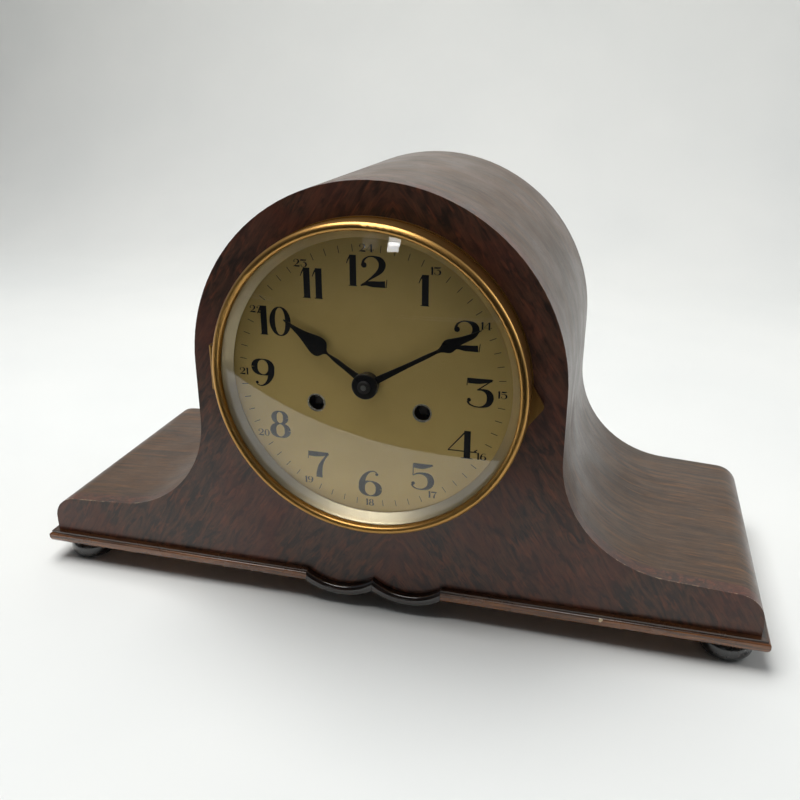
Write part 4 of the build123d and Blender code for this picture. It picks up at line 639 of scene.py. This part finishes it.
# Each figure is 1 high: its width, its pen strokes as (x, y, half thickness), and its round ends.
SIX_STROKES = [
    oval(0.46, 0.30, 0.31, 0.28, 0.115, 0.018),
    [
        (0.15, 0.32, 0.11),
        (0.17, 0.55, 0.105),
        (0.27, 0.78, 0.07),
        (0.42, 0.93, 0.035),
        (0.57, 0.98, 0.02),
        (0.70, 0.94, 0.02),
    ],
]
SIX_BALLS = [(0.70, 0.87, 0.055)]
FIGURES = {
    "0": (0.76, [oval(0.38, 0.5, 0.28, 0.485, 0.10, 0.018)], []),
    "1": (
        0.34,
        [
            [(0.21, 1.0, 0.11), (0.21, 0.0, 0.11)],
            [(0.0, 0.72, 0.012), (0.06, 0.86, 0.02), (0.14, 0.99, 0.03)],
            [(0.06, 0.014, 0.014), (0.34, 0.014, 0.014)],
        ],
        [],
    ),
    "2": (
        0.92,
        [
            [
                (0.12, 0.68, 0.05),
                (0.17, 0.86, 0.035),
                (0.33, 0.97, 0.02),
                (0.52, 0.97, 0.03),
                (0.70, 0.88, 0.09),
                (0.77, 0.72, 0.115),
                (0.69, 0.53, 0.09),
                (0.50, 0.36, 0.05),
                (0.27, 0.19, 0.022),
                (0.07, 0.03, 0.018),
            ],
            [
                (0.05, 0.03, 0.02),
                (0.22, 0.10, 0.06),
                (0.42, 0.10, 0.095),
                (0.66, 0.10, 0.10),
                (0.86, 0.11, 0.11),
            ],
            [(0.89, 0.0, 0.014), (0.92, 0.27, 0.014)],
        ],
        [(0.17, 0.70, 0.09)],
    ),
    "3": (
        0.94,
        [
            [(0.08, 0.90, 0.09), (0.45, 0.90, 0.09), (0.86, 0.95, 0.045)],
            [(0.07, 0.99, 0.014), (0.05, 0.73, 0.014)],
            [(0.88, 0.97, 0.02), (0.40, 0.60, 0.02)],
            [
                (0.38, 0.60, 0.018),
                (0.58, 0.61, 0.04),
                (0.76, 0.52, 0.095),
                (0.82, 0.34, 0.115),
                (0.75, 0.14, 0.085),
                (0.56, 0.03, 0.03),
                (0.34, 0.02, 0.02),
                (0.15, 0.09, 0.028),
                (0.09, 0.20, 0.04),
            ],
        ],
        [(0.13, 0.24, 0.065)],
    ),
    "4": (
        1.02,
        [
            [(0.66, 1.0, 0.11), (0.66, 0.0, 0.11)],
            [(0.60, 0.97, 0.025), (0.03, 0.27, 0.018)],
            [(0.01, 0.26, 0.02), (0.99, 0.26, 0.02)],
            [(0.90, 0.27, 0.03), (1.0, 0.36, 0.014)],
            [(0.46, 0.014, 0.014), (0.86, 0.014, 0.014)],
        ],
        [],
    ),
    "5": (
        0.86,
        [
            [(0.12, 0.90, 0.085), (0.45, 0.89, 0.095), (0.80, 0.96, 0.03)],
            [(0.13, 0.97, 0.018), (0.11, 0.52, 0.018)],
            [
                (0.11, 0.52, 0.018),
                (0.25, 0.60, 0.03),
                (0.46, 0.62, 0.045),
                (0.67, 0.53, 0.10),
                (0.74, 0.33, 0.115),
                (0.66, 0.13, 0.08),
                (0.47, 0.03, 0.03),
                (0.27, 0.02, 0.02),
                (0.12, 0.09, 0.028),
                (0.08, 0.18, 0.04),
            ],
        ],
        [(0.12, 0.22, 0.065)],
    ),
    "6": (0.88, SIX_STROKES, SIX_BALLS),
    "7": (
        0.80,
        [
            [(0.06, 0.89, 0.09), (0.36, 0.89, 0.095), (0.78, 0.93, 0.05)],
            [(0.05, 0.99, 0.014), (0.03, 0.70, 0.014)],
            [
                (0.78, 0.95, 0.03),
                (0.60, 0.70, 0.045),
                (0.48, 0.45, 0.08),
                (0.43, 0.20, 0.105),
                (0.42, 0.0, 0.115),
            ],
        ],
        [],
    ),
    "8": (
        0.80,
        [oval(0.40, 0.755, 0.215, 0.23, 0.10, 0.02), oval(0.40, 0.27, 0.27, 0.255, 0.115, 0.02)],
        [],
    ),
    "9": (
        0.88,
        [[(0.88 - x, 1 - y, w) for x, y, w in stroke] for stroke in SIX_STROKES],
        [(0.88 - x, 1 - y, r) for x, y, r in SIX_BALLS],
    ),
}
FIGURE_GAP = 0.07
INK_THICK = 0.02 * MM
INK_STEP = 0.002 * MM


def between_four(a, b, c, d, t):
    """A point of the smooth curve through a, b, c, d, at share t from b to c."""
    return tuple(
        0.5 * (2 * q + (r - p) * t + (2 * p - 5 * q + 4 * r - s) * t * t + (3 * q - p - 3 * r + s) * t**3)
        for p, q, r, s in zip(a, b, c, d)
    )


def pen_stroke(bm, places, level):
    """Pulls an edge along the pen's places, as wide as the pen is at each, and leaves it at that level."""
    smooth = []
    last = len(places) - 1
    pieces = 1 if last == 1 else 4
    for i in range(last):
        four = (places[max(i - 1, 0)], places[i], places[i + 1], places[min(i + 2, last)])
        smooth += [between_four(*four, k / pieces) for k in range(pieces)]
    smooth.append(places[last])
    edge = None
    for i, (x, y, half) in enumerate(smooth):
        before, after = smooth[max(i - 1, 0)], smooth[min(i + 1, len(smooth) - 1)]
        run = Vector((after[0] - before[0], after[1] - before[1], 0)).normalized()
        side = Vector((-run.y, run.x, 0)) * half
        ends = (Vector((x, y, level)) + side, Vector((x, y, level)) - side)
        if edge is None:
            edge = bm.edges.new([bm.verts.new(p) for p in ends])
            corners = list(edge.verts)
            continue
        pulled = bmesh.ops.extrude_edge_only(bm, edges=[edge])["geom"]
        edge = next(g for g in pulled if isinstance(g, bmesh.types.BMEdge))
        verts = list(edge.verts)
        flip = any(e.other_vert(verts[0]) is corners[1] for e in verts[0].link_edges)
        corners = verts[::-1] if flip else verts
        for vert, p in zip(corners, ends):
            vert.co = p


def write_number(bm, text, height, centre):
    """Writes a number upright on the dial, with its middle at centre."""
    letters = bmesh.new()
    across = 0.0
    level = 0.0
    for figure in text:
        width, strokes, balls = FIGURES[figure]
        for stroke in strokes:
            pen_stroke(letters, [(x + across, y, w) for x, y, w in stroke], level)
            level += INK_STEP / height
        for x, y, radius in balls:
            bmesh.ops.create_circle(
                letters,
                cap_ends=True,
                segments=20,
                radius=radius,
                matrix=Matrix.Translation((x + across, y, level)),
            )
            level += INK_STEP / height
        across += width + FIGURE_GAP
    middle = Matrix.Translation((-(across - FIGURE_GAP) / 2, -0.5, 0))
    upright_turn = Matrix.Rotation(math.pi / 2, 4, "X")
    place = Matrix.Translation(centre) @ upright_turn @ Matrix.Scale(height, 4) @ middle
    bmesh.ops.transform(letters, matrix=place, verts=letters.verts)
    pressed = bpy.data.meshes.new("pressed")
    letters.to_mesh(pressed)
    letters.free()
    bm.from_mesh(pressed)
    bpy.data.meshes.remove(pressed)


def inked(name, bm, body, material):
    """Makes the flat figures thin solid ink facing forward, and fixes them on the dial."""
    bmesh.ops.recalc_face_normals(bm, faces=bm.faces)
    backward = [f for f in bm.faces if f.normal.y > 0]
    bmesh.ops.reverse_faces(bm, faces=backward)
    pulled = bmesh.ops.extrude_face_region(bm, geom=bm.faces[:], use_keep_orig=True)["geom"]
    moved = [g for g in pulled if isinstance(g, bmesh.types.BMVert)]
    bmesh.ops.translate(bm, vec=(0, -INK_THICK, 0), verts=moved)
    bmesh.ops.recalc_face_normals(bm, faces=bm.faces)
    return made(name, bm, body, material)


def made(name, bm, body, material, smooth=False):
    """Turns the worked shape into a piece of the clock that rides on a body."""
    mesh = bpy.data.meshes.new(name)
    bm.to_mesh(mesh)
    bm.free()
    piece = bpy.data.objects.new(name, mesh)
    bpy.context.scene.collection.objects.link(piece)
    mesh.materials.append(material)
    if smooth:
        mesh.shade_smooth()
    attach(piece, body)
    return piece


ink, tree, shader = new_finish("dial_ink", Specular_IOR_Level=0.35)
thin_ink = wire(tree, "TexNoise", {"Vector": spot(tree), "Scale": 1400.0, "Detail": 4.0}).outputs[0]
tree.links.new(
    blended(tree, between(tree, thin_ink, 0.5, 0.8, 0.0, 0.5), colour(20, 21, 26), colour(52, 50, 46)),
    shader["Base Color"],
)
tree.links.new(between(tree, thin_ink, 0.3, 0.7, 0.32, 0.5), shader["Roughness"])

HOUR_FIGURE = 15.6 * MM
HOUR_CIRCLE = 58.2 * MM
AFTERNOON_FIGURE = 3.9 * MM
AFTERNOON_CIRCLE = 69.7 * MM
MINUTE_STROKE = (68.0 * MM, 71.6 * MM, 0.34 * MM)
ink_y = dial_low.y


def clock_place(minutes, radius):
    """A place on the dial, so many minutes round from the top."""
    a = math.radians(minutes * 6)
    return Vector((dial_centre.x + radius * math.sin(a), ink_y, dial_centre.z + radius * math.cos(a)))


hour_bm = bmesh.new()
afternoon_bm = bmesh.new()
for hour in range(1, 13):
    write_number(hour_bm, str(hour), HOUR_FIGURE, clock_place(hour * 5, HOUR_CIRCLE))
    write_number(afternoon_bm, str(hour + 12), AFTERNOON_FIGURE, clock_place(hour * 5, AFTERNOON_CIRCLE))
inked("hour_figures", hour_bm, "case", ink)
inked("afternoon_figures", afternoon_bm, "case", ink)

stroke_bm = bmesh.new()
for minute in range(60):
    if minute % 5:
        near = clock_place(minute, MINUTE_STROKE[0])
        far = clock_place(minute, MINUTE_STROKE[1])
        side = (far - near).cross(Vector((0, 1, 0))).normalized() * MINUTE_STROKE[2] / 2
        first = stroke_bm.edges.new([stroke_bm.verts.new(near + side), stroke_bm.verts.new(near - side)])
        pulled = bmesh.ops.extrude_edge_only(stroke_bm, edges=[first])["geom"]
        ends = [g for g in pulled if isinstance(g, bmesh.types.BMVert)]
        bmesh.ops.translate(stroke_bm, vec=far - near, verts=ends)
inked("minute_strokes", stroke_bm, "case", ink)


# ---------------------------------------------------------------------------------------------
# Winding hole ferrules: plated collars pressed into the dial so that the key doesn't chip it.
# ---------------------------------------------------------------------------------------------
nickel, tree, shader, _ = metal_finish(
    "plated_nickel", colour(206, 202, 186), colour(140, 132, 108), 0.4, 0.16
)
shader["Metallic"].default_value = 0.5
paint("winding_ferrules", nickel)


# ---------------------------------------------------------------------------------------------
# Hands: a pair of spade hands stamped from steel and blacked, the minute hand above the hour
# hand, held by a low round nut of darkened steel.
# ---------------------------------------------------------------------------------------------
blacked, tree, shader = new_finish("blacked_steel", Metallic=0.35, Coat_Roughness=0.2, Coat_Weight=0.35)
place = spot(tree)
wear = wire(tree, "TexNoise", {"Vector": place, "Scale": 420.0, "Detail": 5.0, "Roughness": 0.6}).outputs[0]
tree.links.new(
    blended(tree, between(tree, wear, 0.55, 0.8, 0.0, 0.6), colour(16, 15, 17), colour(44, 40, 38)),
    shader["Base Color"],
)
tree.links.new(between(tree, wear, 0.3, 0.75, 0.26, 0.5), shader["Roughness"])
for node in ("hour_hand", "minute_hand"):
    paint(node, blacked)
nut_steel = metal_finish("nut_steel", colour(96, 94, 92), colour(40, 38, 37), 0.9, 0.34, (1500.0,) * 3)[0]
paint("hand_nut", nut_steel)


# ---------------------------------------------------------------------------------------------
# Bezel: a hinged ring spun from brass with a rolled crown, lacquered and aged to dull gold, on a
# browner ring screwed to the front. The sight ring inside the glass is silvered and turned.
# ---------------------------------------------------------------------------------------------
centre_xz = (dial_centre.x, dial_centre.z)
BEZEL_GOLD = colour(206, 160, 92)
BEZEL_AGED = colour(138, 94, 44)
bezel_gold = lathe_finish("bezel_gold", centre_xz, BEZEL_GOLD, BEZEL_AGED, 0.6, 0.22, 2200.0)[0]
paint("bezel_ring", bezel_gold)
browned = lathe_finish(
    "browned_brass", centre_xz, colour(176, 136, 78), colour(100, 72, 38), 0.7, 0.34, 1800.0
)[0]
for node in ("base_ring", "bezel_tab", "bezel_hinge_fixed", "bezel_hinge_moving"):
    paint(node, browned)
sight_finish = lathe_finish(
    "sight_silver", centre_xz, colour(226, 214, 182), colour(176, 150, 98), 0.35, 0.26, 3000.0
)[0]
paint("sight_ring", sight_finish)


# ---------------------------------------------------------------------------------------------
# Glass: one convex pane, about 1.6 mm thick, sprung into the bezel's seat.
# ---------------------------------------------------------------------------------------------
pane, tree, shader = new_finish(
    "convex_glass", Transmission_Weight=1.0, IOR=1.5, Base_Color=(1.0, 1.0, 1.0, 1.0)
)
smear = wire(tree, "TexNoise", {"Vector": spot(tree), "Scale": 45.0, "Detail": 5.0}).outputs[0]
tree.links.new(between(tree, smear, 0.4, 0.75, 0.0, 0.035), shader["Roughness"])
light_path = wire(tree, "LightPath").outputs["Is Shadow Ray"]
let_through = wire(tree, "BsdfTransparent")
surface = wire(
    tree,
    "MixShader",
    {0: light_path, 1: tree.nodes["Principled BSDF"].outputs[0], 2: let_through.outputs[0]},
)
tree.links.new(surface.outputs[0], tree.nodes["Material Output"].inputs["Surface"])
paint("bezel_glass", pane)


# ---------------------------------------------------------------------------------------------
# The table it stands on, the light, and the camera.
# ---------------------------------------------------------------------------------------------
SWEEP_BACK = 1.15
SWEEP_ROUND = 0.45
SWEEP_TOP = 1.6
SWEEP_SIDE = 3.0
sweep_bm = bmesh.new()
front_corners = [sweep_bm.verts.new((x, -SWEEP_SIDE, 0)) for x in (-SWEEP_SIDE, SWEEP_SIDE)]
front_edge = sweep_bm.edges.new(front_corners)
profile = [(SWEEP_BACK - SWEEP_ROUND, 0.0)]
for step in range(1, 13):
    a = math.radians(90 * step / 12)
    profile.append(
        (SWEEP_BACK - SWEEP_ROUND + SWEEP_ROUND * math.sin(a), SWEEP_ROUND - SWEEP_ROUND * math.cos(a))
    )
profile.append((SWEEP_BACK, SWEEP_TOP))
edge = front_edge
for y, z in profile:
    pulled = bmesh.ops.extrude_edge_only(sweep_bm, edges=[edge])["geom"]
    edge = next(g for g in pulled if isinstance(g, bmesh.types.BMEdge))
    for vert in edge.verts:
        vert.co.y, vert.co.z = y, z
sweep_mesh = bpy.data.meshes.new("table_cloth")
sweep_bm.to_mesh(sweep_mesh)
sweep_bm.free()
sweep_mesh.shade_smooth()
cloth, tree, shader = new_finish("white_cloth", Specular_IOR_Level=0.2)
fold = wire(tree, "TexNoise", {"Vector": spot(tree), "Scale": 3.0, "Detail": 3.0}).outputs[0]
tree.links.new(
    blended(tree, between(tree, fold, 0.3, 0.7), colour(236, 236, 232), colour(228, 229, 226)),
    shader["Base Color"],
)
tree.links.new(between(tree, fold, 0.3, 0.7, 0.8, 0.95), shader["Roughness"])
sweep_mesh.materials.append(cloth)
sweep = bpy.data.objects.new("table_cloth", sweep_mesh)
bpy.context.scene.collection.objects.link(sweep)

world = bpy.data.worlds.new("studio")
bpy.context.scene.world = world
world.use_nodes = True
tree = world.node_tree
direction = wire(tree, "TexCoord").outputs["Generated"]
forward = wire(tree, "SeparateXYZ", {0: direction}).outputs[1]
room = blended(
    tree, between(tree, forward, -0.55, 0.15), (0.05, 0.05, 0.05, 1.0), (0.62, 0.68, 0.74, 1.0)
)
seen = wire(tree, "LightPath").outputs["Is Camera Ray"]
tree.links.new(blended(tree, seen, room, (0.95, 0.97, 1.0, 1.0)), tree.nodes["Background"].inputs[0])
tree.nodes["Background"].inputs[1].default_value = 0.55

# A black card lies on the floor in front. The camera doesn't see it: reflections and views through
# the glass do, so it darkens the upper part of the glass and of the dial.
CARD_HALF_WIDTH = 2.4
CARD_HALF_DEPTH = 1.2
CARD_TURN = math.radians(14)
CARD_PLACE = (0.0, -1.488, 0.004)
card_bm = bmesh.new()
bmesh.ops.create_grid(card_bm, x_segments=1, y_segments=1, size=1.0)
bmesh.ops.scale(card_bm, vec=(CARD_HALF_WIDTH, CARD_HALF_DEPTH, 1.0), verts=card_bm.verts)
card_turn = Matrix.Rotation(CARD_TURN, 3, "Z")
bmesh.ops.rotate(card_bm, cent=(0, 0, 0), matrix=card_turn, verts=card_bm.verts)
bmesh.ops.translate(card_bm, vec=CARD_PLACE, verts=card_bm.verts)
card_mesh = bpy.data.meshes.new("black_card")
card_bm.to_mesh(card_mesh)
card_bm.free()
card_black, tree, shader = new_finish("card_black", Specular_IOR_Level=0.1)
nap = wire(tree, "TexNoise", {"Vector": spot(tree), "Scale": 40.0}).outputs[0]
tree.links.new(blended(tree, nap, colour(16, 16, 16), colour(26, 26, 26)), shader["Base Color"])
card_mesh.materials.append(card_black)
card = bpy.data.objects.new("black_card", card_mesh)
bpy.context.scene.collection.objects.link(card)
card.visible_camera = False
card.visible_diffuse = False
card.visible_shadow = False


def lamp(name, place, aim, width, height, watts, tint=(1.0, 1.0, 1.0)):
    """A soft rectangular light at a place, turned to its aim."""
    light = bpy.data.lights.new(name, "AREA")
    light.shape = "RECTANGLE"
    light.size = width
    light.size_y = height
    light.energy = watts
    light.color = tint
    holder = bpy.data.objects.new(name, light)
    bpy.context.scene.collection.objects.link(holder)
    holder.location = place
    holder.rotation_euler = (Vector(aim) - Vector(place)).to_track_quat("-Z", "Y").to_euler()
    return holder


middle = (cad_box[0] + cad_box[1]) / 2
lamp("ceiling_light", (-0.3, 0.0, 1.5), middle, 1.2, 1.0, 25.0)
lamp("side_light", (1.7, 0.5, 0.9), middle, 1.0, 1.2, 7.0, (0.96, 0.98, 1.0))
lamp("window_light", (-0.52, -2.97, 0.78), middle, 0.14, 0.085, 0.5)

camera_data = bpy.data.cameras.new("camera")
camera = bpy.data.objects.new("camera", camera_data)
bpy.context.scene.collection.objects.link(camera)
CAMERA_AZIMUTH = math.radians(15.107)
CAMERA_ELEVATION = math.radians(21.645)
CAMERA_PLACE = (121.5 * MM, -463.8 * MM, 292.6 * MM)
SENSOR_WIDTH = 36.0
LENS_LENGTH = 37.63
camera_data.sensor_width = SENSOR_WIDTH
camera_data.lens = LENS_LENGTH
camera.location = CAMERA_PLACE
back = Vector(
    (
        math.sin(CAMERA_AZIMUTH) * math.cos(CAMERA_ELEVATION),
        -math.cos(CAMERA_AZIMUTH) * math.cos(CAMERA_ELEVATION),
        math.sin(CAMERA_ELEVATION),
    )
)
camera.rotation_mode = "QUATERNION"
camera.rotation_quaternion = (-back).to_track_quat("-Z", "Y")
camera_data.clip_start = 0.01
camera_data.clip_end = 50.0
bpy.context.scene.camera = camera
bpy.context.scene.view_settings.view_transform = "Standard"
